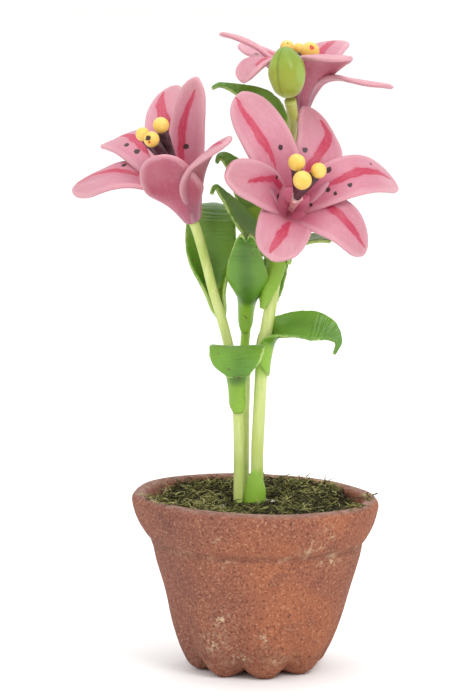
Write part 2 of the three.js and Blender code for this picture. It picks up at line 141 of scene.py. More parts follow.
def add(tree, kind, inputs=None, **settings):
    """Adds a shader node with its settings, and links or sets its inputs."""
    made = tree.nodes.new(kind)
    for name, value in settings.items():
        setattr(made, name, value)
    for key, value in (inputs or {}).items():
        if isinstance(value, bpy.types.NodeSocket):
            tree.links.new(value, made.inputs[key])
        else:
            made.inputs[key].default_value = value
    return made


def start_material(name, **fixed):
    """A material with its shader, whose constant values stand on its own sockets, its node tree,
    and the place on the piece in metres."""
    material = bpy.data.materials.new(name)
    material.use_nodes = True
    tree = material.node_tree
    tree.nodes.clear()
    inputs = {key.replace("_", " "): value for key, value in fixed.items()}
    shader = add(tree, "ShaderNodeBsdfPrincipled", inputs)
    add(tree, "ShaderNodeOutputMaterial", {"Surface": shader.outputs[0]})
    return material, tree, add(tree, "ShaderNodeTexCoord").outputs["Object"]


def dressed(material, tint, relief=None, roughness=None):
    """The material, with what varies over the piece linked to its shader."""
    tree = material.node_tree
    sockets = tree.nodes["Principled BSDF"].inputs
    for name, value in (("Base Color", tint), ("Normal", relief), ("Roughness", roughness)):
        if value:
            tree.links.new(value, sockets[name])
    return material


def mix(tree, factor, a, b):
    return add(tree, "ShaderNodeMix", {0: factor, 6: a, 7: b}, data_type="RGBA").outputs[2]


def maths(tree, operation, a, b=0.0):
    return add(tree, "ShaderNodeMath", {0: a, 1: b}, operation=operation).outputs[0]


def times(tree, first, *others):
    """The product of several values."""
    for other in others:
        first = maths(tree, "MULTIPLY", first, other)
    return first


def step(tree, value, low, high, out_low=0.0, out_high=1.0):
    """A soft step of a value from low to high."""
    made = add(
        tree, "ShaderNodeMapRange", {0: value, 1: low, 2: high, 3: out_low, 4: out_high},
        interpolation_type="SMOOTHSTEP",
    )
    return made.outputs[0]


def ramp(tree, value, stops):
    made = add(tree, "ShaderNodeValToRGB", {0: value})
    line = made.color_ramp
    line.elements[0].position, line.elements[0].color = stops[0][0], linear(stops[0][1])
    line.elements[1].position, line.elements[1].color = stops[-1][0], linear(stops[-1][1])
    for place, colour in stops[1:-1]:
        line.elements.new(place).color = linear(colour)
    return made.outputs[0]


def waves(tree, place, scale, detail, rough=0.5):
    """A noise's value and colour."""
    inputs = {"Vector": place, "Scale": scale, "Detail": detail, "Roughness": rough}
    return add(tree, "ShaderNodeTexNoise", inputs).outputs


def vector_maths(tree, operation, *values, output=0):
    inputs = dict(enumerate(values))
    return add(tree, "ShaderNodeVectorMath", inputs, operation=operation).outputs[output]


def grain(tree, place, size_mm, detail=2.0, rough=0.5, stretch=None):
    """Noise between 0 and 1 whose grains are about size_mm, at a place in metres."""
    if stretch:
        place = add(tree, "ShaderNodeMapping", {0: place, 3: stretch}).outputs[0]
    return waves(tree, place, 0.6 / (size_mm * MM), detail, rough)[0]


def bump(tree, height, depth_mm, normal=None):
    """Relief of depth_mm for a height between 0 and 1."""
    inputs = {"Height": height, "Distance": depth_mm * MM, "Strength": 1.0}
    if normal:
        inputs["Normal"] = normal
    return add(tree, "ShaderNodeBump", inputs).outputs[0]


def cells(tree, place, size_mm):
    """Distance from the nearest of scattered points about size_mm apart."""
    scale = 1 / (size_mm * MM)
    made = add(tree, "ShaderNodeTexVoronoi", {"Vector": place, "Scale": scale, "Randomness": 1.0})
    return made.outputs["Distance"]


def shaken(tree, place, scale, detail, reach_mm):
    """A place moved by noise up to half its reach, which makes painted outlines uneven."""
    spread, middle = (reach_mm * MM,) * 3, (-reach_mm * MM / 2,) * 3
    cloud = waves(tree, place, scale, detail)[1]
    moved = vector_maths(tree, "MULTIPLY_ADD", cloud, spread, middle)
    return vector_maths(tree, "ADD", place, moved)


def distance(tree, place, centre):
    return vector_maths(tree, "DISTANCE", place, tuple(centre), output=1)


def drawn_out(tree, x, y, scale, detail=3.0):
    """Noise between 0 and 1 whose grains are drawn out, at a place made of two values."""
    place = add(tree, "ShaderNodeCombineXYZ", {0: x, 1: y}).outputs[0]
    return waves(tree, place, scale, detail)[0]


def attribute(tree, name, output=2):
    return add(tree, "ShaderNodeAttribute", attribute_name=name).outputs[output]


def float_layers(bm, *names):
    """A bmesh's float layers of these names, made where it lacks them."""
    layers = bm.verts.layers.float
    return {name: layers.get(name) or layers.new(name) for name in names}


def push_on(bm, loop):
    """Extrudes a ring of edges, and returns the new vertices and the new ring."""
    made = bmesh.ops.extrude_edge_only(bm, edges=loop)["geom"]
    fresh = {g for g in made if isinstance(g, bmesh.types.BMVert)}
    edges = [g for g in made if isinstance(g, bmesh.types.BMEdge)]
    return fresh, [e for e in edges if all(v in fresh for v in e.verts)]


def finish_piece(bm, name, material, nodes=(), levels=0):
    """Turns a bmesh in millimetres into a smooth piece that stands for the given nodes."""
    bmesh.ops.scale(bm, vec=(MM, MM, MM), verts=bm.verts)
    mesh = bpy.data.meshes.new(name)
    bm.to_mesh(mesh)
    bm.free()
    mesh.shade_smooth()
    piece = bpy.data.objects.new(name, mesh)
    bpy.context.scene.collection.objects.link(piece)
    mesh.materials.append(material)
    if levels:
        rounding = piece.modifiers.new("rounding", "SUBSURF")
        rounding.levels = rounding.render_levels = levels
    if nodes:
        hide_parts(*nodes)
    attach(piece, "root")
    return piece


# Blades: petals and leaves are sheets of rolled clay with rounded edges

BLADE_MARKS = ("along", "across", "run", "edge", "inside", "tone")


def blade_place(spine, shape, across, t):
    """A point of a blade's middle surface and its distance from the midrib."""
    point, side, normal = spine(t)
    bow = blend(shape["bow"], t) or 1e-6
    width = max(0.05, blend(shape["width"], t))
    close = shape.get("round_tip", 0.0)
    if close and t > 1 - close:
        width *= math.sqrt(max(0.0, 1 - ((t - 1 + close) / close) ** 2)) * 0.92 + 0.08
    x = across * width
    ragged = shape.get("ragged", 0.0)
    if ragged:
        k = shape["length"] * t
        torn = wander(k * 2.2, sign(across) * 9, seed=shape["seed"])
        torn += 0.6 * wander(k * 6.0, sign(across) * 9, seed=shape["seed"] + 3)
        x += sign(across) * ragged * torn * smooth((abs(across) - 0.6) / 0.4)
    wave = shape.get("wave", 0.0) * smooth(2 * t) * across * across
    lift = wave * math.sin(9 * t + 2.5 * sign(across) + shape.get("phase", 0.0))
    fold = blend(shape["fold"], t) if "fold" in shape else 0.0
    up = (1 - math.cos(bow * x)) / bow + fold * abs(x) + lift
    return point + side * (math.sin(bow * x) / bow) + normal * up, x, width


def add_blade(bm, spine, shape, cols, rows, thickness):
    """Adds a blade to bm: a grid and its copy, bridged at the edge, and laid on the midrib."""
    layers = float_layers(bm, *BLADE_MARKS)
    upper = bmesh.ops.create_grid(bm, x_segments=cols, y_segments=rows, size=1.0)["verts"]
    edges = list({e for v in upper for e in v.link_edges})
    faces = list({f for v in upper for f in v.link_faces})
    copied = bmesh.ops.duplicate(bm, geom=upper + edges + faces)["geom"]
    lower = [g for g in copied if isinstance(g, bmesh.types.BMVert)]
    under = [g for g in copied if isinstance(g, bmesh.types.BMFace)]
    bmesh.ops.reverse_faces(bm, faces=under)
    rim = [e for e in edges if len(e.link_faces) == 1]
    rim += [e for e in copied if isinstance(e, bmesh.types.BMEdge) and len(e.link_faces) == 1]
    wall = bmesh.ops.bridge_loops(bm, edges=rim)["faces"]

    length, h = shape["length"], 0.004
    groove = shape.get("groove", 0.0)
    for verts, face in ((upper, 1), (lower, -1)):
        for v in verts:
            across = sign(v.co.x) * (1 - (1 - abs(v.co.x)) ** 1.5)
            t = (v.co.y + 1) / 2
            t = t + 0.012 * math.sin(2 * math.pi * t)
            middle, x, width = blade_place(spine, shape, across, t)
            before, after = max(0.0, t - h), min(1.0, t + h)
            around = ((across - h, t), (across + h, t), (across, before), (across, after))
            left, right, back, ahead = (blade_place(spine, shape, *spot)[0] for spot in around)
            normal = (right - left).cross(ahead - back).normalized()
            to_edge = min((1 - abs(across)) * width, (1 - t) * length)
            if shape.get("open_base"):
                to_edge = min(to_edge, t * length + 0.02)
            full = min(1.0, to_edge / (thickness * 0.55))
            half = thickness / 2 * (0.34 + 0.66 * math.sqrt(max(0.0, 1 - (1 - full) ** 2)))
            fade = smooth(t * 5) * (1 - smooth((t - 0.85) / 0.15))
            dent = groove * math.exp(-((x / 0.22) ** 2)) * fade
            v.co = middle + normal * (half - dent if face > 0 else 0.4 * dent - half)
            v[layers["along"]] = t
            v[layers["across"]] = x
            v[layers["run"]] = t * length
            v[layers["edge"]] = to_edge
            v[layers["inside"]] = 1.0 if face > 0 else 0.0
            v[layers["tone"]] = shape.get("tone", 0.5)
    bmesh.ops.recalc_face_normals(bm, faces=faces + under + wall)
    return upper + lower


# Sizes and colours that a user may change


def size(name, description, default, low=0.0, high=10.0):
    return bpy.props.FloatProperty(
        name=name, description=description + ", in millimetres", default=default, min=low, max=high,
    )


def colour(name, description, default):
    return bpy.props.FloatVectorProperty(
        name=name, description=description, default=linear(default)[:3], subtype="COLOR",
        size=3, min=0.0, max=1.0,
    )


class LilySizes(bpy.types.PropertyGroup):
    petal_thickness: size("Petal thickness", "Thickness of the rolled clay of a petal", 0.55)
    petal_half_width: size("Petal half width", "Half the width of a full petal", 2.6)
    leaf_thickness: size("Leaf thickness", "Thickness of the rolled clay of a leaf", 0.48)
    leaf_tear: size("Leaf edge tear", "How far the cut edge of a leaf wanders", 0.09)
    stem_radius: size("Stem radius", "Radius of a stem", 0.56)
    moss_fibre: size("Moss fibre", "Length of a typical strand of moss", 1.5)
    moss_fibres: bpy.props.IntProperty(
        name="Moss fibres", description="Number of strands in the moss", default=5750, min=0,
        max=6200,
    )


class LilyColours(bpy.types.PropertyGroup):
    terracotta: colour("Terracotta", "Fired clay of the pot", "8a5542")
    dust: colour("Dust", "Pale dust rubbed into the pot", "b79779")
    streak: colour("Streak", "Brush streak along a petal", "ab0a36")
    dot: colour("Dot", "Painted dots on a petal", "1e060c")
    stem: colour("Stem", "Clay of the stems", "b8c76c")
    sheath: colour("Sheath", "Fresh green of the leaf sheaths", "88b233")
    leaf: colour("Leaf", "Clay of the leaves", "568425")
    leaf_edge: colour("Leaf edge", "Pale cut edge of a leaf", "a9bf70")
    anther: colour("Anther", "Clay of the stamens' balls", "e4c266")
    filament: colour("Filament", "Paint of the filaments", "3b2128")
    pistil: colour("Pistil", "Clay of the pistil", "e3b3ab")
    floor: colour("Floor", "Seamless paper under the pot", "f6f6f5")


def rgba(value):
    return tuple(value) + (1.0,)


# Pot

POT_HEIGHT = 19.9
POT_LOBES = 8
POT_LOBE_TURN = 9.6
RIM_LEAN = 0.035
CREASE_HEIGHT = 14.7
POT_SPIN = 288
POT_OUTSIDE = (
    (0, 0), (2.6, 0), (5.0, 0), (6.7, 0.05), (7.6, 0.7), (8.3, 1.9), (9.0, 3.6), (9.75, 6.0),
    (10.55, 9.3), (11.5, 12.5), (11.95, 14.3), (12.5, 15.3), (13.25, 16.6), (13.8, 18.2),
    (13.9, 19.2), (13.5, 19.8),
)
POT_INSIDE = (
    (12.8, 19.9), (12.2, 19.5), (11.95, 18.6), (11.0, 15.4), (9.6, 9.8), (7.6, 4.4),
    (6.2, 2.4), (0, 2.4),
)


def lobed(v, share):
    """Presses the lobes in by a share, leans the rim and swells the wall a little to +X."""
    angle = math.atan2(v.x, -v.y) - math.radians(POT_LOBE_TURN)
    radius = math.hypot(v.x, v.y) or 1.0
    height = v.z / POT_HEIGHT
    depth = 0.22 + 0.85 * (1 - smooth(height / 0.55))
    between = 1 - abs(math.cos(POT_LOBES / 2 * angle))
    notch = between * share * smooth((radius - 2.6) / 3)
    v.x *= 1 - notch * depth / radius
    v.y *= 1 - notch * depth / radius
    v.z += notch * 0.85 * (1 - smooth(height / 0.14))
    v.z -= RIM_LEAN * v.x * smooth((height - 0.6) / 0.4)
    v.x += 0.28 * smooth(height / 0.5) * (1 - smooth((height - 0.72) / 0.2))


def fired_terracotta(colours):
    """Low-fired red clay, pressed in a mould: open sandy grain with pale mica flecks painted bright
    as glints, dusty in the groove and on the lip, with rubbed pale scuffs, and painted shade on its
    left side, inside it, and in the groove under the rim band and near the foot."""
    material, tree, place = start_material(
        "fired_terracotta", Roughness=0.92, IOR=1.5, Specular_IOR_Level=0.25,
    )
    x = add(tree, "ShaderNodeSeparateXYZ", {0: place}).outputs[0]
    clouds = step(tree, grain(tree, place, 5.0, 3), 0.35, 0.68)
    clay = mix(tree, clouds, rgba(colours.terracotta), linear("9c5f44"))
    # Painted shade: the pot grows darker and browner toward its left side
    painted_shade_left = step(tree, x, 4 * MM, -12.5 * MM)
    clay = mix(tree, times(tree, painted_shade_left, 0.55), clay, linear("704d48"))
    smoke = step(tree, grain(tree, place, 2.2, 4, 0.6), 0.52, 0.7)
    clay = mix(tree, times(tree, smoke, 0.5), clay, linear("6b443b"))
    # Sand grains of about 0.17 mm, some pale and some dark
    sand = grain(tree, place, 0.17, 2, 0.7)
    clay = mix(tree, step(tree, sand, 0.55, 0.68, 0, 0.7), clay, linear("b78566"))
    clay = mix(tree, step(tree, sand, 0.44, 0.33, 0, 0.8), clay, linear("4d2f28"))
    # Pale mica flecks painted bright as glints, in scattered patches
    glint_patches = step(tree, grain(tree, place, 1.1, 2), 0.5, 0.62)
    painted_mica_glints = times(tree, step(tree, cells(tree, place, 0.55), 0.2, 0.1), glint_patches, 0.6)
    clay = mix(tree, painted_mica_glints, clay, linear("c9a98a"))
    pits = step(tree, cells(tree, place, 0.8), 0.12, 0.05, 0, 0.6)
    clay = mix(tree, pits, clay, linear("3a1f1a"))
    # Painted shade darkens the groove under the rim band and near the foot; dust: a film in the
    # groove, on the lip and in rubbed patches
    film = step(tree, grain(tree, place, 0.9, 4, 0.75), 0.46, 0.66)
    groove = attribute(tree, "groove")
    # Painted shade: darker in the groove under the rim band and near the foot
    clay = mix(tree, times(tree, groove, 0.45), clay, linear("5e382e"))
    clay = mix(tree, times(tree, groove, film, 0.5), clay, rgba(colours.dust))
    chalk = step(tree, grain(tree, place, 0.38, 4, 0.8), 0.5, 0.62)
    clay = mix(tree, times(tree, attribute(tree, "scuff"), chalk, 0.85), clay, linear("c9b595"))
    wear = step(tree, grain(tree, place, 0.5, 4, 0.7), 0.4, 0.65)
    worn = mix(tree, wear, linear("7d5c52"), linear("9c8173"))
    clay = mix(tree, times(tree, attribute(tree, "lip"), 0.85), clay, worn)
    # Painted shade: the inside of the pot is darker
    shaded_inside = step(tree, attribute(tree, "inner"), 0.3, 0.9)
    clay = mix(tree, times(tree, shaded_inside, 0.6), clay, linear("5c3a32"))
    relief = bump(tree, grain(tree, place, 0.6, 3, 0.6), 0.07, bump(tree, sand, 0.06))
    return dressed(material, clay, relief)


# Pale rubbed patches: angle from the front toward +X, height, and how far each one reaches
SCUFFS = (
    (-17, 13.9, 0.6, 0.55), (31, 16.3, 1.0, 0.75), (36, 17.4, 0.8, 0.9), (25, 15.6, 0.7, 0.6),
    (42, 14.0, 1.5, 0.7), (5, 4.9, 0.7, 0.6), (3, 5.6, 0.5, 0.5), (-19, 16.6, 0.6, 0.4),
    (-32, 4.4, 2.0, 1.1), (-24, 7.2, 1.5, 1.2), (-12, 2.6, 1.6, 0.8), (18, 2.4, 1.5, 0.7),
    (140, 9.0, 2.2, 1.4), (205, 15.0, 2.0, 1.0), (250, 6.0, 1.8, 1.6),
)


class LILY_OT_pot(bpy.types.Operator):
    """Turns the lobed terracotta pot and its worn lip"""

    bl_idname = "lily.pot"
    bl_label = "Terracotta pot"

    def execute(self, context):
        outside, _ = curve_through([(r, 0, z) for r, z in POT_OUTSIDE[3:]], 90)
        inside, _ = curve_through([(r, 0, z) for r, z in POT_INSIDE[:-1]], 60)
        foot = [Vector((r, 0, 0)) for r in (0, 1.3, 2.6, 3.4, 4.2, 5.0, 5.6, 6.2)]
        floor = [Vector((r, 0, 2.4)) for r in (4.0, 2.0, 0)]
        bm = bmesh.new()
        rank = bm.verts.layers.float.new("rank")
        line = [bm.verts.new(p) for p in foot + outside + inside + floor]
        edges = [bm.edges.new(pair) for pair in zip(line, line[1:])]
        for i, v in enumerate(line):
            v[rank] = (i - len(foot) - len(outside)) / len(inside)
        bmesh.ops.spin(
            bm, geom=line + edges, axis=(0, 0, 1), cent=(0, 0, 0), angle=math.tau, steps=POT_SPIN,
            use_merge=True,
        )
        bmesh.ops.remove_doubles(bm, verts=bm.verts, dist=1e-4)
        marks = float_layers(bm, "groove", "lip", "scuff", "inner")
        bm.normal_update()
        for v in bm.verts:
            inward = v[rank]
            angle = math.degrees(math.atan2(v.co.x, -v.co.y))
            lobed(v.co, 1 - smooth(max(0.0, inward) * len(POT_INSIDE) / 3))
            round_the_pot = wander(v.co.x * 0.16, v.co.y * 0.16, v.co.z * 0.2, seed=2)
            outer = inward < 0.06
            out = Vector((v.co.x, v.co.y, 0)).normalized()
            level = v.co.z + RIM_LEAN * v.co.x
            v.co -= out * (outer * 0.13 * math.exp(-(((level - CREASE_HEIGHT) / 0.32) ** 2)))
            if v.co.z > 1.2:
                v.co += out * (0.07 * round_the_pot + 0.02 * wander(*(v.co * 2.2), seed=5))
            height = v.co.z + RIM_LEAN * v.co.x * smooth((v.co.z / POT_HEIGHT - 0.6) / 0.4)
            # The groove mark carries painted shade and dust, under the rim band and near the foot
            under_rim = math.exp(-(((height - CREASE_HEIGHT + 0.1) / 0.4) ** 2))
            at_foot = 0.5 * math.exp(-(((height - 2.0) / 1.2) ** 2))
            v[marks["groove"]] = outer * (under_rim + at_foot)
            v[marks["lip"]] = smooth((height - 19.45) / 0.4) * (1 - smooth((inward - 0.1) / 0.12))
            v[marks["inner"]] = smooth((inward - 0.06) / 0.1)
            patch = 0.0
            for turn, z, wide, tall in SCUFFS:
                sideways = ((angle - turn + 180) % 360 - 180) * math.radians(12.5)
                patch = max(patch, math.exp(-((sideways / wide) ** 2) - ((height - z) / tall) ** 2))
            v[marks["scuff"]] = outer * patch
        bmesh.ops.recalc_face_normals(bm, faces=bm.faces)
        clay = fired_terracotta(context.scene.lily_colours)
        finish_piece(bm, "terracotta_pot", clay, ["pot"])
        return {"FINISHED"}


# Ground: soil fill, moss and glue

MOSS_BASE = 17.45
MOSS_RADIUS = 11.45
MOSS_SEED = 41
MAT_SPIN = 180
MAT_RINGS = 56
STRAND_LINKS = 4
BATCH = 230
STRAY_STRANDS = 90

# Where loose strands lie on the lip: turns from the front toward +X in degrees, and heights
STRAYS = ((-56, 20.35), (-66, 20.4), (-48, 20.25), (64, 19.5), (86, 19.55), (60, 19.5))

# Drops of glue: place and radius
GLUE = ((-3.6, -1.6, 0.75), (-3.0, -1.9, 0.5), (1.5, 0.4, 0.7), (3.4, 1.6, 0.5), (2.0, 0.1, 0.45))


def bareness(x, y):
    """From 0 in the moss to 1 at the front right, where none grows."""
    return smooth((x / MOSS_RADIUS - 0.6) / 0.35) * (1 - smooth(y / 6))


def moss_height(x, y):
    """Height of the moss at a place."""
    radius = math.hypot(x, y)
    mound = 0.9 * smooth((y / MOSS_RADIUS + 0.4) / 1.2)
    rough = 0.42 * wander(x * 0.55, y * 0.55, seed=4) + 0.46 * wander(x * 1.1, y * 1.1, seed=6)
    fall = smooth((radius - MOSS_RADIUS + 1.2) / 1.4)
    return MOSS_BASE + 1.15 + mound + rough - 0.7 * fall - 1.1 * bareness(x, y)


def dried_moss(fibres):
    """Dried moss glued down: brown at the root, olive to straw-yellow at the tips."""
    material, tree, place = start_material(
        "dried_moss_strands" if fibres else "dried_moss_mat", Roughness=0.85, IOR=1.45,
    )
    if fibres:
        tint = ramp(tree, attribute(tree, "tone"), (
            (0.0, "211a10"), (0.22, "3b3219"), (0.42, "504f2a"), (0.62, "6a6935"), (0.82, "8a8745"),
            (1.0, "b4af74"),
        ))
        return dressed(material, mix(tree, attribute(tree, "root"), tint, linear("33290f")))
    tint = ramp(tree, grain(tree, place, 0.5, 5, 0.75), (
        (0.3, "1e180d"), (0.5, "3a3217"), (0.62, "55502a"), (0.8, "716a33"),
    ))
    return dressed(material, tint, bump(tree, grain(tree, place, 0.3, 5, 0.8), 0.3))


def packed_earth():
    """Dark fill under the moss, brushed on with glue: matt, with grit of about 0.3 mm."""
    material, tree, place = start_material("packed_earth", Roughness=0.95, IOR=1.45)
    grit = grain(tree, place, 0.3, 4, 0.8)
    tint = ramp(tree, grit, ((0.3, "1d140e"), (0.55, "35271c"), (0.75, "5d4636")))
    return dressed(material, tint, bump(tree, grit, 0.25))


def clear_glue():
    """Dried craft glue: a whitish, slightly cloudy film."""
    material, tree, place = start_material("dried_craft_glue", Roughness=0.35, IOR=1.47)
    cloudy = step(tree, grain(tree, place, 0.4, 3), 0.4, 0.65)
    tint = mix(tree, cloudy, linear("b9b5a2"), linear("e4e2d8"))
    return dressed(material, tint, bump(tree, grain(tree, place, 0.35, 3), 0.12))


def strand_pattern():
    """A three-sided strand of five rings, one unit long along +Z, to be bent and placed."""
    bm = bmesh.new()
    float_layers(bm, "tone", "root")
    ring = bmesh.ops.create_circle(bm, segments=3, radius=1.0)["verts"]
    loop = list({e for v in ring for e in v.link_edges})
    bmesh.ops.contextual_create(bm, geom=loop)
    for _ in range(STRAND_LINKS):
        fresh, loop = push_on(bm, loop)
        bmesh.ops.translate(bm, vec=(0, 0, 1 / STRAND_LINKS), verts=list(fresh))
    bmesh.ops.contextual_create(bm, geom=loop)
    bmesh.ops.recalc_face_normals(bm, faces=bm.faces)
    pattern = bpy.data.meshes.new("strand_pattern")
    bm.to_mesh(pattern)
    bm.free()
    return pattern


def add_strand(bm, pattern, root, direction, length, thick, tone, draw):
    """Lays a bent strand of moss from its root along a direction."""
    first = len(bm.verts)
    bm.from_mesh(pattern)
    bm.verts.ensure_lookup_table()
    tones, roots = (bm.verts.layers.float[n] for n in ("tone", "root"))
    side = direction.orthogonal().normalized()
    other = direction.cross(side)
    bend, hook = (
        Vector([draw.uniform(*ends) for ends in ((-1, 1), (-1, 1), rise)]) * (length * share)
        for rise, share in (((-0.2, 0.45), 0.38), ((-0.5, 0.1), 0.3))
    )
    for v in bm.verts[first:]:
        t = v.co.z
        radius = thick * (1 - 0.7 * t * t)
        middle = root + direction * (length * t) + bend * (4 * t * (1 - t)) + hook * t**3
        v.co = middle + side * (v.co.x * radius) + other * (v.co.y * radius)
        v[tones] = min(1.0, max(0.0, tone + 0.12 * t))
        v[roots] = smooth(0.5 - 1.4 * t)


def merged(parts):
    """One bmesh from several."""
    whole = bmesh.new()
    for bm in parts:
        passing = bpy.data.meshes.new("passing")
        bm.to_mesh(passing)
        bm.free()
        whole.from_mesh(passing)
        bpy.data.meshes.remove(passing)
    return whole


def moss_batch(draw, pattern, count, fibre, spots):
    """A bmesh of strands, whose roots, directions and tones come from a function."""
    bm = bmesh.new()
    for _ in range(count):
        root, direction, tone = spots(draw)
        length = fibre * draw.uniform(0.35, 1.05)
        add_strand(bm, pattern, root, direction, length, draw.uniform(0.045, 0.105), tone, draw)
    return bm


def on_the_mat(draw):
    """A root on the mat, lying mostly flat, in clumps of like colour, with painted light:
    lighter on the mat's raised lumps and darker in its hollows.
    """
    while True:
        radius = MOSS_RADIUS * math.sqrt(draw.random())
        angle = draw.uniform(0, math.tau)
        x, y = radius * math.cos(angle), radius * math.sin(angle)
        near_stems = math.hypot(x + 0.8, y + 0.3) < 1.7
        if near_stems or draw.random() < bareness(x, y):
            continue
        z = moss_height(x, y) + draw.uniform(-0.1, 0.22)
        way = 4 * wander(x * 0.35, y * 0.35, seed=12) + draw.gauss(0, 1.6)
        rise = draw.choice((-0.05, 0.1, 0.25, 0.45, 0.8))
        direction = Vector((math.cos(way), math.sin(way), rise)).normalized()
        # Tone by clump, plus painted light: the noise that raises the mat's lumps in moss_height
        # also lightens their strands and darkens those in the hollows
        clump_tone_and_lump_light = 0.37 + 0.35 * wander(x * 0.7, y * 0.7, seed=8)
        clump_tone_and_lump_light += 0.75 * wander(x * 1.1, y * 1.1, seed=6)
        if radius > MOSS_RADIUS - 1.0:
            outward = Vector((x, y, 0)).normalized()
            beyond = max(0.0, direction.dot(outward))
            direction = (direction - outward * beyond * 0.9).normalized()
        return Vector((x, y, z)), direction, clump_tone_and_lump_light + draw.gauss(0, 0.26)


def over_the_rim(draw):
    """A root on the lip, at the left or at the right."""
    turn, z = draw.choice(STRAYS)
    angle = math.radians(turn + draw.gauss(0, 3.5))
    radius = draw.uniform(11.9, 13.4)
    x, y = math.sin(angle) * radius, -math.cos(angle) * radius
    root = Vector((x, y, z + draw.uniform(-0.1, 0.15)))
    way = draw.uniform(0, math.tau)
    direction = Vector((math.cos(way), math.sin(way), draw.uniform(0, 0.3))).normalized()
    return root, direction, draw.uniform(0.3, 0.95)


class LILY_OT_ground(bpy.types.Operator):
    """Fills the pot with earth, moss and a little glue"""

    bl_idname = "lily.ground"
    bl_label = "Soil and moss"

    def execute(self, context):
        sizes = context.scene.lily_sizes
        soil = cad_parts["soil"]
        soil.data.materials.clear()
        soil.data.materials.append(packed_earth())

        bm = bmesh.new()
        rings = [MOSS_RADIUS * k / MAT_RINGS for k in range(MAT_RINGS + 1)]
        line = [bm.verts.new((r, 0, MOSS_BASE)) for r in (0, 4, 8, MOSS_RADIUS - 0.3)]
        line += [bm.verts.new((r, 0, MOSS_BASE + 1)) for r in reversed(rings)]
        edges = [bm.edges.new(pair) for pair in zip(line, line[1:])]
        bmesh.ops.spin(
            bm, geom=line + edges, axis=(0, 0, 1), cent=(0, 0, 0), angle=math.tau, steps=MAT_SPIN,
            use_merge=True,
        )
        bmesh.ops.remove_doubles(bm, verts=bm.verts, dist=1e-4)
        for v in bm.verts:
            if v.co.z > MOSS_BASE + 0.5:
                crumbs = 0.16 * wander(v.co.x * 3, v.co.y * 3, seed=9)
                v.co.z = moss_height(v.co.x, v.co.y) - 0.12 + crumbs
        bmesh.ops.recalc_face_normals(bm, faces=bm.faces)
        finish_piece(bm, "moss_mat", dried_moss(False), ["moss"])

        draw, pattern = random.Random(MOSS_SEED), strand_pattern()
        batches = [
            moss_batch(draw, pattern, BATCH, sizes.moss_fibre, on_the_mat)
            for _ in range(sizes.moss_fibres // BATCH)
        ]
        strays = moss_batch(draw, pattern, STRAY_STRANDS, sizes.moss_fibre * 0.8, over_the_rim)
        batches.append(strays)
        bpy.data.meshes.remove(pattern)
        finish_piece(merged(batches), "moss_strands", dried_moss(True))

        bm = bmesh.new()
        for x, y, wide in GLUE:
            drop = bmesh.ops.create_icosphere(bm, subdivisions=4, radius=wide)["verts"]
            for v in drop:
                lump = 1 + 0.25 * wander(*(v.co * 1.8), seed=int(10 * x))
                z = moss_height(x, y) + 0.05
                v.co = Vector((x + v.co.x * lump, y + v.co.y * lump, z + v.co.z * 0.35 * lump))
        finish_piece(bm, "glue_spots", clear_glue())
        return {"FINISHED"}


# Stems

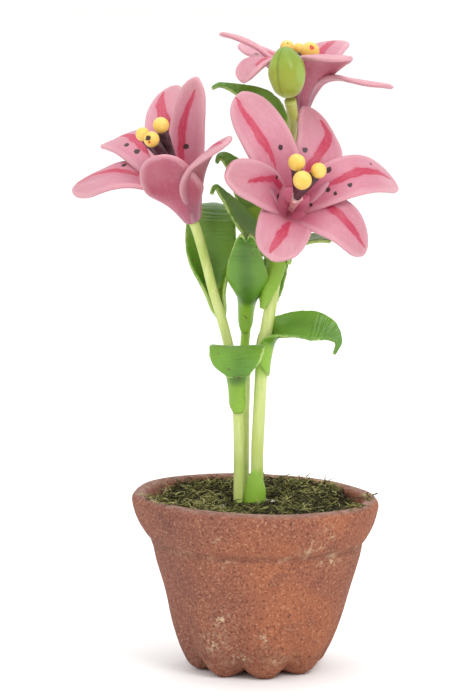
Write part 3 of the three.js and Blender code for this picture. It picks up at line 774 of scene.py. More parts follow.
BLOOMS = {
    "front": {
        "base": (3.26, -1.5, 50.9), "axis": (0.23, -0.795, 0.561), "up": (0, 0, 1),
        # turn, length, flare, reach, lean, width factor, roll
        "petals": (
            (37, 17.3, 106, 0.81, -29, 1.12, -6), (-50, 15.9, 114, 0.62, 74, 1.02, 0),
            (-71, 17.6, 136, 0.74, -17, 0.95, 0), (-123, 12.9, 138, 0.77, -6, 1.03, 0),
            (147, 11.0, 100, 0.8, 11, 1.15, 0), (68, 14.9, 50, 0.62, 40, 0.95, 0),
        ),
        # streak of each petal: places along it, with millimetres from its midrib and half width
        "streaks": (
            (
                (0.4, -0.35, 0.0), (0.48, -0.4, 0.3), (0.62, -0.6, 0.55), (0.75, -0.85, 0.4),
                (0.96, -0.9, 0.08),
            ),
            (
                (0.36, -0.6, 0.1), (0.46, -0.45, 0.5), (0.6, 0.4, 0.62), (0.74, 1.2, 0.45),
                (0.87, 0.9, 0.1),
            ),
            (
                (0.36, 0.1, 0.1), (0.45, 0.1, 0.4), (0.58, -0.1, 0.55), (0.74, -0.2, 0.35),
                (0.9, -0.2, 0.06),
            ),
            (
                (0.34, -1.6, 0.0), (0.44, -1.15, 0.42), (0.6, -0.45, 0.5), (0.74, 0.0, 0.4),
                (0.95, -0.1, 0.05),
            ),
            (
                (0.42, -0.5, 0.1), (0.56, -0.3, 0.42), (0.7, 0.0, 0.62), (0.83, 0.3, 0.45),
                (0.94, 0.6, 0.08),
            ),
            (
                (0.3, 1.5, 0.35), (0.44, 1.4, 0.45), (0.55, 0.6, 0.3), (0.66, 0.0, 0.3),
                (0.76, -0.5, 0.05),
            ),
        ),
        # dots: petal, place along it, millimetres from its midrib, radius
        "dots": (
            (0, 0.53, 1.0, 0.3), (1, 0.54, -1.6, 0.32), (1, 0.45, 1.7, 0.5), (5, 0.41, 1.7, 0.2),
            (5, 0.28, 0.4, 0.34), (4, 0.2, 0.6, 0.36), (2, 0.38, 0.5, 0.3), (2, 0.41, 1.3, 0.24),
            (2, 0.51, 1.1, 0.27), (3, 0.31, -1.0, 0.34), (2, 0.71, -1.2, 0.18), (4, 0.3, 0.3, 0.3),
        ),
        "filament_root": 5.7,
        "anthers": ((4.4, -9, 58.1, 0.95), (6.8, -9, 57.2, 0.86), (5, -10.5, 56.3, 1.04)),
    },
    "left": {
        "base": (-6.96, -1.5, 51.0), "axis": (-0.3, -0.356, 0.885), "up": (0, 0, 1),
        "petals": (
            (119, 16.6, 105, 0.63, -27, 1.12, 0), (60, 17.9, 118, 0.82, 29, 1.1, 0),
            (50, 18.3, 84, 0.73, -34, 0.95, 0), (19, 15.9, 24, 0.9, -29, 0.8, 0),
            (-93, 16.8, 72, 0.9, -12, 1.0, 0), (211, 12.4, 24, 0.9, 0, 1.2, 0),
        ),
        "streaks": (
            (
                (0.3, 0.6, 0.1), (0.5, 0.4, 0.36), (0.66, 0.9, 0.3), (0.84, 1.2, 0.2),
                (0.99, 0.2, 0.05),
            ),
            (
                (0.42, -0.4, 0.2), (0.52, -0.35, 0.5), (0.66, -0.1, 0.55), (0.78, 0.3, 0.35),
                (0.88, 0.6, 0.06),
            ),
            (
                (0.3, 0.0, 0.1), (0.45, 0.0, 0.5), (0.6, 0.0, 0.75), (0.78, -0.8, 0.5),
                (0.92, -1.0, 0.08),
            ),
            (
                (0.36, -0.6, 0.1), (0.48, -0.6, 0.4), (0.65, -0.5, 0.45), (0.8, -0.1, 0.3),
                (0.92, 0.3, 0.05),
            ),
            (
                (0.5, 0.1, 0.05), (0.62, 0.0, 0.35), (0.75, -0.3, 0.4), (0.88, -0.1, 0.25),
                (0.97, 0.2, 0.05),
            ),
            ((0.2, 0.0, 0.0), (0.3, 0.0, 0.0)),
        ),
        "dots": (
            (0, 0.59, 1.7, 0.3), (1, 0.64, -1.4, 0.3), (1, 0.54, -1.3, 0.36), (3, 0.5, 0.0, 0.3),
        ),
        "filament_root": 6.4,
        "anthers": ((-10.4, -6, 61.9, 0.9), (-12.4, -6, 60.9, 0.78), (-11.4, -7.7, 60.5, 0.87)),
    },
    "top": {
        "base": (4.9, 5.2, 62.25), "axis": (0.04, 0.06, 1.0), "up": (0, -1, 0),
        "petals": (
            (-92, 13.2, 98, 1.1, 0, 0.85, 0), (-145, 14.2, 78, 0.54, 1, 1.0, 0),
            (-50, 13.4, 165, 1.0, 16, 0.95, 0), (150, 13.0, 88, 0.94, 2, 1.02, 0),
            (21, 12.1, 106, 0.93, 17, 1.2, 0), (90, 12.2, 97, 0.42, 0, 0.85, 0),
        ),
        "streaks": (
            ((0.3, 0.0, 0.1), (0.5, 0.0, 0.45), (0.7, 0.1, 0.4), (0.9, 0.0, 0.06)),
            ((0.3, 0.0, 0.1), (0.5, 0.1, 0.4), (0.72, 0.0, 0.4), (0.9, 0.0, 0.05)),
            ((0.35, -0.4, 0.1), (0.55, -0.8, 0.5), (0.72, -1.3, 0.55), (0.86, -1.2, 0.1)),
            ((0.35, 0.0, 0.2), (0.55, 0.1, 0.6), (0.8, 0.0, 0.55), (0.95, -0.2, 0.1)),
            ((0.3, 0.0, 0.1), (0.5, 0.1, 0.4), (0.7, 0.0, 0.35), (0.86, 0.0, 0.05)),
            ((0.3, 0.0, 0.1), (0.5, -0.1, 0.4), (0.7, 0.0, 0.35), (0.86, 0.0, 0.05)),
        ),
        "dots": (
            (1, 0.6, -2.2, 0.3), (3, 0.5, 1.3, 0.3), (4, 0.55, -1.2, 0.28), (0, 0.5, 1.0, 0.28),
        ),
        "filament_root": 4.2,
        "anthers": ((6.1, 4.4, 69.35, 1.05), (3.55, 5.6, 69.7, 0.8), (4.9, 7.2, 69.3, 0.8)),
    },
}

STEMS = {
    "left": (
        (-1.9, -0.7, 8), (-1.9, -0.7, 18.9), (-2.0, -0.7, 29.2), (-2.4, -0.8, 33.5),
        (-3.1, -0.8, 37.2),
        (-4.0, -0.8, 40.6), (-4.7, -0.75, 42.8), (-5.6, -0.65, 46.4),
    ),
    "middle": (
        (-1.2, 1.2, 8), (-1.2, 1.2, 18.6), (-1.2, 1.2, 26.9), (-1.1, 1.2, 32.6), (-1.2, 1.2, 36.6),
        (-0.8, 1.3, 40.3), (-0.1, 1.5, 45.1), (1.4, 1.9, 50.6), (3.0, 3.4, 56.2),
    ),
    "right": (
        (0.2, -0.9, 8), (0.2, -0.9, 18.9), (0.2, -0.9, 24.4), (0.6, -1.0, 33), (0.9, -1.0, 36.9),
        (1.4, -1.0, 39.7), (1.8, -0.85, 42), (2.3, -0.5, 45.2), (2.7, -0.15, 48.0),
    ),
}
STEM_BLOOM = {"left": "left", "middle": "top", "right": "front"}
STEM_WIDTH = {
    "left": (1.05, 1.05, 1.0, 1.0, 1.0, 0.98, 0.98),
    "middle": (0.9, 0.9, 0.9, 0.9, 0.95, 0.95, 0.95),
    "right": (1.27, 1.27, 1.27, 1.25, 1.25, 1.2, 1.1),
}
# Heights between which a stem is smeared with the leaves' green
GREEN_STRETCHES = {
    "left": ((14, 19.6),), "middle": ((14, 19.5), (35.6, 48)), "right": ((14, 23.5), (33.0, 36)),
}
PEDICEL = ((3.2, 3.6, 57.0), (4.05, 2.2, 60.0), (4.08, -0.6, 62.6), (3.8, -1.85, 64.3))


def bloom_frame(bloom):
    """A bloom's root, its axis and two directions across it."""
    along = Vector(bloom["axis"]).normalized()
    up = Vector(bloom["up"])
    first = (up - along * up.dot(along)).normalized()
    return Vector(bloom["base"]), along, first, along.cross(first)


def stem_line(name):
    """The points of a stem, up into its bloom."""
    root, along, _, _ = bloom_frame(BLOOMS[STEM_BLOOM[name]])
    return list(STEMS[name]) + [root - along * 1.4, root - along * 0.1]


def add_rod(bm, line, radii, sides=36, seed=0, flat=0.05):
    """A rod along an even line: a ring pushed on from place to place, and capped. Its radii are
    spread evenly over it, and flat says how far it departs from round."""
    marks = float_layers(bm, "along", "across", "run")
    last = len(line) - 1
    ways = [(line[min(last, i + 1)] - line[max(0, i - 1)]).normalized() for i in range(last + 1)]
    side = ways[0].orthogonal().normalized()
    ring = bmesh.ops.create_circle(bm, segments=sides, radius=1.0)["verts"]
    angles = [math.atan2(v.co.y, v.co.x) for v in ring]
    loop = list({e for v in ring for e in v.link_edges})
    bottom = list(loop)
    reach = 0.0
    for i, (centre, way) in enumerate(zip(line, ways)):
        if i:
            fresh, loop = push_on(bm, loop)
            order = {}
            for v in fresh:
                behind = next(e.other_vert(v) for e in v.link_edges if e.other_vert(v) not in fresh)
                order[behind] = v
            ring = [order[v] for v in ring]
            reach += (centre - line[i - 1]).length
        side = (side - way * side.dot(way)).normalized()
        other = way.cross(side)
        t = i / last
        radius = blend(radii, t)
        for v, angle in zip(ring, angles):
            x, y = math.cos(angle), math.sin(angle)
            lump = flat * wander(x * 0.8, y * 0.8, reach * 0.22, seed=seed)
            lump += 0.012 * wander(angle * 2.5, reach * 2.5, seed=seed + 2)
            v.co = centre + (side * x + other * y) * radius * (1 + lump)
            v[marks["along"]] = t
            v[marks["across"]] = angle
            v[marks["run"]] = reach
    bmesh.ops.contextual_create(bm, geom=bottom)
    bmesh.ops.contextual_create(bm, geom=loop)


def rolled_clay_stem(colours):
    """Air-dry clay rolled on wire: satin, slightly see-through, with faint lengthwise drag marks,
    and green where the leaves were pressed on."""
    material, tree, place = start_material(
        "rolled_clay_stem", Roughness=0.42, IOR=1.46, Subsurface_Weight=0.25,
        Subsurface_Radius=(0.8, 1.0, 0.3), Subsurface_Scale=0.5 * MM,
    )
    drag = grain(tree, place, 0.35, 3, 0.6, (1, 1, 0.12))
    tint = mix(tree, step(tree, drag, 0.35, 0.7), rgba(colours.stem), linear("c8d38a"))
    cloud = step(tree, grain(tree, place, 2.4, 2), 0.5, 0.75, 0, 0.45)
    tint = mix(tree, cloud, tint, linear("94b545"))
    z = add(tree, "ShaderNodeSeparateXYZ", {0: place}).outputs[2]
    tint = mix(tree, attribute(tree, "green"), tint, rgba(colours.sheath))
    tint = mix(tree, step(tree, z, 56.5 * MM, 58.5 * MM, 0, 0.8), tint, linear("a2a344"))
    specks = step(tree, grain(tree, place, 0.18, 2), 0.66, 0.75, 0, 0.4)
    tint = mix(tree, specks, tint, linear("8f9a4a"))
    return dressed(material, tint, bump(tree, drag, 0.05))


class LILY_OT_stems(bpy.types.Operator):
    """Rolls the three stems, with the bud's stalk on the middle one"""

    bl_idname = "lily.stems"
    bl_label = "Stems"

    def execute(self, context):
        radius = context.scene.lily_sizes.stem_radius
        material = rolled_clay_stem(context.scene.lily_colours)
        for seed, name in enumerate(STEMS):
            bm = bmesh.new()
            line, _ = curve_through(stem_line(name), 120)
            add_rod(bm, line, [k * radius for k in STEM_WIDTH[name]], seed=seed)
            if name == "middle":
                stalk, _ = curve_through(PEDICEL, 40)
                add_rod(bm, stalk, (0.5, 0.5, 0.54, 0.66), seed=7)
            green = bm.verts.layers.float.new("green")
            for v in bm.verts:
                edge = v.co.z + 0.3 * wander(v.co.x * 1.5, v.co.z * 0.6, seed=seed)
                for low, high in GREEN_STRETCHES[name]:
                    smear = smooth((edge - low) / 1.2) * smooth((high - edge) / 1.2)
                    v[green] = max(v[green], 0.85 * smear)
            bmesh.ops.recalc_face_normals(bm, faces=bm.faces)
            finish_piece(bm, f"{name}_stem_rolled", material, [f"{name}_stem"])
        return {"FINISHED"}


# Leaves

LEAF_GRID = (16, 66)

# Each leaf: points of its midrib from the stem to the tip, then, spread evenly over it, where its
# upper face looks, its half widths, and how strongly it curls across (1 / radius)
LEAVES = {
    "leaf_left_large": {
        "points": (
            (-3.8, 0.0, 39.8), (-3.95, 0.02, 40.4), (-4.15, 0.2, 41.1), (-4.45, 0.8, 42.4),
            (-4.8, 1.6, 44.8),
            (-5.05, 2.3, 47.5), (-5.0, 3.1, 50.0), (-4.8, 4.5, 51.7), (-4.6, 6.4, 52.0),
        ),
        "facing": (
            (0, -1, 0), (0, -1, 0), (0, -1, 0.1), (0.05, -1, 0.2), (0, -0.8, 0.6), (0, -0.2, 1),
        ),
        "width": (0.5, 1.5, 2.1, 2.7, 2.95, 2.95, 2.7, 1.9, 0.3),
        "bow": (1.38, 1.2, 0.75, 0.42, 0.24, 0.16, 0.1, 0, 0),
    },
    "leaf_left_front": {
        "points": (
            (-1.95, -1.4, 29.2), (-2.0, -1.42, 30.6), (-2.05, -1.5, 31.9), (-2.1, -1.8, 33.2),
            (-2.1, -2.4, 35.0), (-2.1, -3.2, 36.5), (-2.1, -4.5, 37.1), (-2.05, -5.8, 36.6),
            (-2.0, -6.7, 35.5), (-1.9, -7.1, 34.2),
        ),
        "facing": (
            (0, 1, 0), (0, 1, 0), (0, 1, 0.1), (0, 0.9, 0.4), (0, 0.1, 1), (-0.2, -0.6, 0.8),
            (-0.25, -1, 0.3),
        ),
        "width": (0.5, 1.6, 1.8, 1.6, 1.9, 2.6, 3.0, 3.1, 2.7, 1.3),
        "bow": (1.3, 1.3, 1.2, 0.9, 0.4, 0.12, 0.04, 0.04, 0.08, 0.1),
    },
    "leaf_middle": {
        "points": (
            (-1.15, 0.58, 38.0), (-1.1, 0.55, 39.4), (-1.05, 0.2, 40.8), (-1.0, -0.9, 42.2),
            (-1.0, -1.9, 43.9),
            (-1.1, -2.7, 46.5), (-1.1, -3.2, 48.7), (-1.1, -4.4, 49.6), (-1.1, -5.3, 49.0),
        ),
        "facing": (
            (0, 1, 0), (0, 1, 0), (0.1, 1, 0), (0.1, 1, 0), (0.1, 1, 0.1), (0.1, 1, 0.2),
            (0, 0.7, 0.7), (0, -0.1, 1),
        ),
        "width": (0.4, 1.3, 1.6, 1.95, 2.45, 2.1, 1.5, 0.9, 0.1),
        "bow": (1.6, 1.55, 1.1, 0.5, 0.25, 0.15, 0.1, 0.1, 0.1),
    },
    "leaf_right_upper": {
        "points": (
            (1.25, 0.2, 40.8), (1.5, 0.4, 42.5), (1.8, 0.8, 44.2), (2.3, 1.6, 45.9),
            (2.8, 2.8, 47.5),
            (3.2, 4.3, 48.3),
        ),
        "facing": ((0.3, -1, 0), (0.2, -1, 0.2), (0, -0.9, 0.5), (0, -0.5, 0.9)),
        "width": (0.9, 1.4, 1.55, 1.4, 1.0, 0.3),
        "bow": (0.7, 0.5, 0.35, 0.2, 0.1, 0.1),
    },
    "leaf_right_large": {
        "points": (
            (1.35, -1.0, 33.4), (1.5, -1.0, 34.8), (1.75, -0.97, 36.2), (2.1, -1.05, 37.5),
            (2.9, -1.35, 38.55),
            (4.6, -1.8, 39.25), (6.5, -2.2, 39.2), (8.3, -2.5, 38.6), (9.2, -2.8, 37.5),
            (8.7, -3.0, 36.1),
        ),
        "facing": (
            (-1, -0.05, 0), (-1, -0.1, 0), (-0.8, -0.3, 0.3), (-0.3, -0.65, 0.65),
            (-0.05, -0.8, 0.65), (0.1, -0.8, 0.65),
            (0.9, -0.6, 0.2),
        ),
        "width": (0.5, 1.7, 2.25, 2.15, 1.8, 1.85, 1.9, 1.4, 0.5, 0.15),
        "bow": (1.45, 1.25, 1.1, 0.8, 0.3, 0.08, 0.03, 0.05, 0.1, 0.1),
    },
    "leaf_top": {
        "points": (
            (2.7, 4.6, 59.3), (2.3, 4.6, 61.2), (1.0, 4.2, 63.0), (-0.8, 4.0, 64.5),
            (-2.6, 4.0, 65.3),
            (-4.0, 4.0, 65.6), (-4.9, 4.1, 65.2),
        ),
        "facing": ((0, -1, 0), (0.1, -0.9, 0.3), (0.2, -0.8, 0.6), (0.1, -0.6, 0.8)),
        "width": (0.8, 1.5, 1.9, 1.7, 0.95, 0.45, 0.2),
        "bow": (0.6, 0.3, 0.15, 0.1, 0.1, 0.1, 0.1),
    },
    "leaf_behind": {
        "points": (
            (0.5, 2.8, 50.6), (-0.3, 2.6, 53.0), (-1.4, 2.5, 55.2), (-2.7, 2.6, 57.0),
            (-3.9, 2.8, 57.8),
            (-4.4, 2.9, 56.9),
        ),
        "facing": ((0.2, -1, 0), (0.2, -0.9, 0.3), (0.2, -0.7, 0.7), (-0.5, -0.5, 0.7)),
        "width": (0.8, 1.8, 2.0, 1.6, 0.8, 0.2),
        "bow": (0.6, 0.3, 0.2, 0.1, 0.1, 0.1),
    },
    "leaf_right_left": {
        "points": (
            (1.25, -0.8, 46.6), (0.5, -0.3, 47.9), (-0.7, 0.0, 49.8), (-2.2, -0.2, 51.9),
            (-3.6, -0.6, 53.7),
            (-4.5, -1.0, 54.7), (-4.9, -1.2, 53.8),
        ),
        "facing": ((0.9, 0, 0.3), (0.6, -0.5, 0.6), (0.4, -0.6, 0.7), (0.3, -0.6, 0.7)),
        "width": (0.8, 1.6, 1.8, 1.6, 1.1, 0.5, 0.2),
        "bow": (0.6, 0.3, 0.15, 0.1, 0.1, 0.1, 0.1),
    },
    "leaf_right_small": {
        "points": (
            (3.7, -0.6, 45.9), (4.2, -0.4, 47.5), (5.4, -0.3, 48.5), (7.0, -0.6, 48.8),
            (8.4, -1.0, 48.5),
        ),
        "facing": ((-1, 0, 0.2), (-0.5, -0.2, 0.8), (0, -0.2, 1)),
        "width": (0.7, 1.2, 1.4, 1.0, 0.2),
        "bow": (0.6, 0.3, 0.15, 0.1, 0.1),
    },
}

# Scraps of fresh green clay pressed round a stem, in the same form
WRAPS = {
    "foot_wrap": {
        "points": (
            (-0.1, -1.78, 17.4), (-0.1, -1.78, 19.2), (-0.05, -1.68, 20.6), (-0.15, -1.5, 21.8),
            (-0.25, -1.35, 22.8),
        ),
        "facing": ((0, 1, 0), (0.05, 1, 0)),
        "width": (1.75, 1.8, 1.7, 1.0, 0.2),
        "bow": (1.02, 1.02, 1.0, 1.0, 1.0),
    },
    "collar_wrap": {
        "points": (
            (0.85, -1.55, 41.0), (1.1, -1.55, 42.4), (1.45, -1.3, 44.4), (1.85, -0.95, 46.4),
            (2.1, -0.8, 47.6),
        ),
        "facing": ((0.7, 0.7, 0), (0.6, 0.8, 0)),
        "width": (0.2, 0.9, 1.5, 1.8, 1.9),
        "bow": (1.05, 1.05, 1.05, 1.0, 0.9),
    },
}


def pressed_clay_leaf(colours):
    """Green clay rolled thin and pressed on a leaf mould, then varnished: glossy with a fine
    orange-peel grain, cross ridges where it was bent, and pale crumbs along its cut edge."""
    material, tree, place = start_material(
        "pressed_clay_leaf", IOR=1.48, Subsurface_Weight=0.12, Subsurface_Radius=(0.6, 1.0, 0.25),
        Subsurface_Scale=0.4 * MM,
    )
    along, across, run = (attribute(tree, n) for n in ("along", "across", "run"))
    edge, inside, fresh = (attribute(tree, n) for n in ("edge", "inside", "tone"))
    from_rib = maths(tree, "ABSOLUTE", across)
    cloud = step(tree, grain(tree, place, 2.5, 3), 0.35, 0.7)
    tint = mix(tree, cloud, rgba(colours.leaf), linear("6b982f"))
    # The midrib's band is darker, most of all on the outside, and the margins are brighter
    band = times(tree, step(tree, from_rib, 1.25, 0.1), step(tree, inside, 0.9, 0.1, 0.2, 0.45))
    tint = mix(tree, band, tint, linear("1f4612"))
    bright = times(tree, step(tree, from_rib, 1.0, 2.6), step(tree, inside, 1.0, 0.0, 0.3, 0.7))
    tint = mix(tree, bright, tint, linear("74a02c"))
    sheath = step(tree, along, fresh, times(tree, fresh, 0.7), 0, 0.92)
    tint = mix(tree, sheath, tint, rgba(colours.sheath))
    fleck = grain(tree, place, 0.2, 3, 0.7)
    tint = mix(tree, step(tree, fleck, 0.62, 0.8, 0, 0.3), tint, linear("7a9a4a"))
    specks = step(tree, grain(tree, place, 0.45, 1), 0.72, 0.77, 0, 0.5)
    tint = mix(tree, specks, tint, linear("5f3a24"))
    # Crumbs of bare clay stand along the cut edge, within about 0.12 mm of it
    patchy = step(tree, grain(tree, place, 1.3, 2), 0.42, 0.6, -0.12, -0.02)
    crumb = maths(tree, "ADD", times(tree, grain(tree, place, 0.3, 3, 0.7), 0.26), patchy)
    cut = step(tree, maths(tree, "SUBTRACT", crumb, edge), -0.04, 0.05, 0, 0.85)
    tint = mix(tree, cut, tint, rgba(colours.leaf_edge))
    ridges = drawn_out(tree, run, times(tree, across, 0.12), 2.4, 2.0)
    toward_tip = step(tree, along, 0.45, 0.8, 0.25, 1.0)
    depth = times(tree, ridges, toward_tip, step(tree, fresh, 1.0, 0.5))
    relief = bump(tree, grain(tree, place, 0.2, 2, 0.6), 0.06, bump(tree, depth, 0.2))
    return dressed(material, tint, relief, step(tree, cut, 0, 1, 0.33, 0.8))


class LILY_OT_leaves(bpy.types.Operator):
    """Lays the nine clasping leaves and the green wraps on the stems"""

    bl_idname = "lily.leaves"
    bl_label = "Leaves"

    def execute(self, context):
        sizes = context.scene.lily_sizes
        material = pressed_clay_leaf(context.scene.lily_colours)
        for seed, (name, leaf) in enumerate((LEAVES | WRAPS).items()):
            spine, length = drawn_spine(leaf["points"], leaf["facing"])
            shape = dict(leaf, length=length, ragged=sizes.leaf_tear, seed=seed, open_base=True)
            # The share of the leaf that is fresh green sheath: a wrap is so all over
            shape["tone"] = 3.0 if name in WRAPS else 0.3 if len(leaf["points"]) > 7 else 0.2
            bm = bmesh.new()
            add_blade(bm, spine, shape, *LEAF_GRID, sizes.leaf_thickness)
            nodes = [] if name in WRAPS else [name]
            finish_piece(bm, name + "_pressed", material, nodes, levels=1)
        return {"FINISHED"}


# Blooms

TUBE_RADIUS = 0.62
TUBE_ANGLE = 22
THROAT_END = 0.27
PETAL_GRID = (18, 52)
PETAL_WIDTH = (0.3, 0.5, 0.72, 0.9, 1.0, 1.03, 1.0, 0.92, 0.72, 0.3)
PETAL_BOW = (0.95, 0.75, 0.45, 0.2, 0.04, -0.06, -0.1, -0.12, -0.08, 0)
PETAL_FOLD = (0, 0, 0.03, 0.06, 0.08, 0.1, 0.1, 0.08, 0.04, 0)


def petal_spine(base, petal):
    """A petal's midrib, bent outward from the bloom's axis along its reach."""
    root, axis, first, second = base
    turn, length, flare, reach, lean, _, roll = petal
    turn, lean, roll = (math.radians(degrees) for degrees in (turn, lean, roll))
    outward = first * math.cos(turn) + second * math.sin(turn)
    sideways = axis.cross(outward)

    def heading(t):
        bend = math.radians(TUBE_ANGLE + (flare - TUBE_ANGLE) * smooth((t - 0.15) / reach))
        drift = lean * t**1.5
        along = axis * math.cos(bend) + outward * math.sin(bend)
        along = along * math.cos(drift) + sideways * math.sin(drift)
        inward = axis * math.sin(bend) - outward * math.cos(bend)
        inward = Matrix.Rotation(roll * smooth(t * 1.5), 3, along) @ inward
        side = along.cross(inward).normalized()
        return along, side, side.cross(along)

    steps = 60
    line = [root + outward * TUBE_RADIUS]
    for i in range(steps):
        line.append(line[-1] + heading((i + 0.5) / steps)[0] * (length / steps))

    @lru_cache(maxsize=None)
    def spine(t):
        s = min(steps - 1, max(0, int(t * steps)))
        point = line[s].lerp(line[s + 1], t * steps - s)
        _, side, normal = heading(t)
        return point, side, normal

    return spine


def petal_shape(petal, index, half_width):
    """What add_blade needs to know of a petal."""
    width = [w * petal[5] * half_width for w in PETAL_WIDTH]
    return {
        "width": width, "bow": PETAL_BOW, "fold": PETAL_FOLD, "wave": 0.12, "phase": index * 1.7,
        "length": petal[1], "round_tip": 0.07, "groove": 0.07, "seed": index,
    }


def add_throat(bm, base, petals, spines):
    """Closes the throat: a funnel that follows the petals' feet all round, ending in a dish."""
    root, axis, first, second = base
    feet = sorted(zip((petal[0] % 360 for petal in petals), spines), key=lambda foot: foot[0])
    feet = [(feet[-1][0] - 360, feet[-1][1])] + feet + [(feet[0][0] + 360, feet[0][1])]
    brim = 0.66

    def wall(turn, t):
        """How far the petals stand from the axis, and how high, between two of them."""
        for (a, before), (b, after) in zip(feet, feet[1:]):
            if a <= turn <= b:
                share = smooth((turn - a) / (b - a))
                p, q = before(t)[0] - root, after(t)[0] - root
                radius, height = p.cross(axis).length, p.dot(axis)
                radius += (q.cross(axis).length - radius) * share
                return radius, height + (q.dot(axis) - height) * share

    ball = bmesh.ops.create_uvsphere(bm, u_segments=72, v_segments=32, radius=1.0)["verts"]
    for v in ball:
        # From its south pole to the brim the ball becomes the funnel, and beyond it the dish
        south = math.acos(max(-1.0, min(1.0, -v.co.z))) / math.pi
        dish = (south - brim) / (1 - brim)
        angle = math.atan2(v.co.y, v.co.x)
        radius, height = wall(math.degrees(angle) % 360, THROAT_END * min(1.0, south / brim))
        radius *= min(1.0, south / 0.06) * (1 - max(0.0, dish))
        height -= smooth(dish) * 0.9
        way = first * math.cos(angle) + second * math.sin(angle)
        v.co = root + axis * height + way * radius
    return ball


def brushed(marks, t):
    """The middle and half width of a brush streak at a place along its petal."""
    if not marks[0][0] <= t <= marks[-1][0]:
        return marks[0 if t < 0.5 else -1][1], -1.0
    for (t0, *a), (t1, *b) in zip(marks, marks[1:]):
        if t <= t1:
            share = (t - t0) / (t1 - t0)
            return [p + (q - p) * share for p, q in zip(a, b)]


def petal_clay(name, colours, dots):
    """Pink air-dry clay, rolled thin: satin and a little see-through, deeper in the throat, with
    a crimson streak brushed into the crease and dots of dark maroon paint."""
    material, tree, place = start_material(
        name, Roughness=0.46, IOR=1.46, Subsurface_Weight=0.3, Subsurface_Radius=(1.0, 0.45, 0.4),
        Subsurface_Scale=0.6 * MM,
    )
    along, across, run = (attribute(tree, n) for n in ("along", "across", "run"))
    face = step(tree, attribute(tree, "inside"), 0.35, 0.65)
    inner = ramp(tree, along, (
        (0.0, "b43d5c"), (0.2, "bf5672"), (0.34, "bb6078"), (0.5, "bd7486"), (0.75, "bb7c8a"),
        (1.0, "ba8089"),
    ))
    outer = ramp(tree, along, (
        (0.0, "a0506a"), (0.25, "a95066"), (0.5, "9f3d55"), (0.8, "a3465c"), (1.0, "ae5c70"),
    ))
    tint = mix(tree, face, outer, inner)
    cloud = step(tree, grain(tree, place, 2.2, 3), 0.3, 0.7, 0, 0.2)
    tint = mix(tree, cloud, tint, linear("cd9ca4"))
    veins = drawn_out(tree, across, times(tree, run, 0.14), 4.5)
    tint = mix(tree, step(tree, veins, 0.42, 0.62, 0, 0.16), tint, linear("ae5f78"))
    tint = mix(tree, step(tree, attribute(tree, "edge"), 0.9, 0.02, 0, 0.5), tint, linear("d0a3aa"))
    mottle = step(tree, grain(tree, place, 0.22, 3, 0.7), 0.5, 0.75, 0, 0.12)
    tint = mix(tree, mottle, tint, linear("dcb6bc"))

    # The streak: a dry brush leaves it ragged at its root and thins it to a line at the tip
    off, half, _ = add(tree, "ShaderNodeSeparateXYZ", {0: attribute(tree, "streak", 1)}).outputs
    swell = step(tree, half, 0.0, 0.3)
    bristle = drawn_out(tree, off, times(tree, run, 0.1), 9.0)
    wobble = times(tree, maths(tree, "SUBTRACT", grain(tree, place, 0.9, 2), 0.5), 0.5)
    off = maths(tree, "ABSOLUTE", maths(tree, "ADD", off, wobble))
    dryness = step(tree, along, 0.8, 0.45, 0.25, 0.8)
    ragged = times(tree, maths(tree, "SUBTRACT", bristle, 0.5), dryness)
    covered = maths(tree, "SUBTRACT", maths(tree, "ADD", half, ragged), off)
    paint = times(tree, step(tree, covered, -0.1, 0.08), step(tree, swell, 0.0, 0.2), face)
    worn = step(tree, bristle, 0.68, 0.5, 0.55, 0.95)
    tint = mix(tree, times(tree, paint, worn), tint, rgba(colours.streak))
    blush = times(tree, step(tree, off, 1.2, 0.1), step(tree, swell, 0.05, 0.7), face, 0.3)
    tint = mix(tree, blush, tint, linear("bb4a68"))

    uneven = shaken(tree, place, 2600.0, 1.0, 0.28)
    spots = 0.0
    for centre, radius in dots:
        spot = step(tree, distance(tree, uneven, centre), radius * 1.12, radius * 0.86)
        spots = maths(tree, "MAXIMUM", spots, spot)
    tint = mix(tree, times(tree, spots, face, 0.95), tint, rgba(colours.dot))
    relief = bump(tree, grain(tree, place, 0.3, 3), 0.02, bump(tree, veins, 0.05))
    return dressed(material, tint, relief)


def painted_filament(colours):
    """Thick dark purple-brown paint on a clay cone: matt with a faint sheen and brush lumps."""
    material, tree, place = start_material("painted_filament", Roughness=0.5, IOR=1.46)
    lumps = grain(tree, place, 0.35, 3)
    tint = mix(tree, step(tree, lumps, 0.35, 0.7), rgba(colours.filament), linear("5c3f44"))
    return dressed(material, tint, bump(tree, lumps, 0.1))


def anther_clay(colours, name, stains=()):
    """Rolled yellow clay ball: satin and cloudy, some with a dab of paint."""
    material, tree, place = start_material(
        name, Roughness=0.4, IOR=1.46, Subsurface_Weight=0.3, Subsurface_Radius=(1.0, 0.7, 0.2),
        Subsurface_Scale=0.5 * MM,
    )
    cloud = grain(tree, place, 0.7, 3)
    tint = mix(tree, step(tree, cloud, 0.35, 0.7), rgba(colours.anther), linear("dcb650"))
    specks = step(tree, grain(tree, place, 0.16, 2), 0.6, 0.8, 0, 0.5)
    tint = mix(tree, specks, tint, linear("fbe38a"))
    uneven = shaken(tree, place, 2200.0, 2.0, 0.5)
    for centre, radius, paint in stains:
        apart = distance(tree, uneven, [c * MM for c in centre])
        dab = step(tree, apart, radius * 1.1 * MM, radius * 0.85 * MM)
        tint = mix(tree, dab, tint, linear(paint))
    return dressed(material, tint, bump(tree, cloud, 0.04))


def pistil_clay(colours):
    """Pale pink clay pinched into a lobed tip."""
    material, tree, place = start_material(
        "pistil_clay", Roughness=0.45, IOR=1.46, Subsurface_Weight=0.3, Subsurface_Scale=0.4 * MM,
    )
    cloud = step(tree, grain(tree, place, 0.5, 3), 0.35, 0.7)
    tint = mix(tree, cloud, rgba(colours.pistil), linear("d19aa0"))
    return dressed(material, tint, bump(tree, grain(tree, place, 0.3, 2), 0.05))


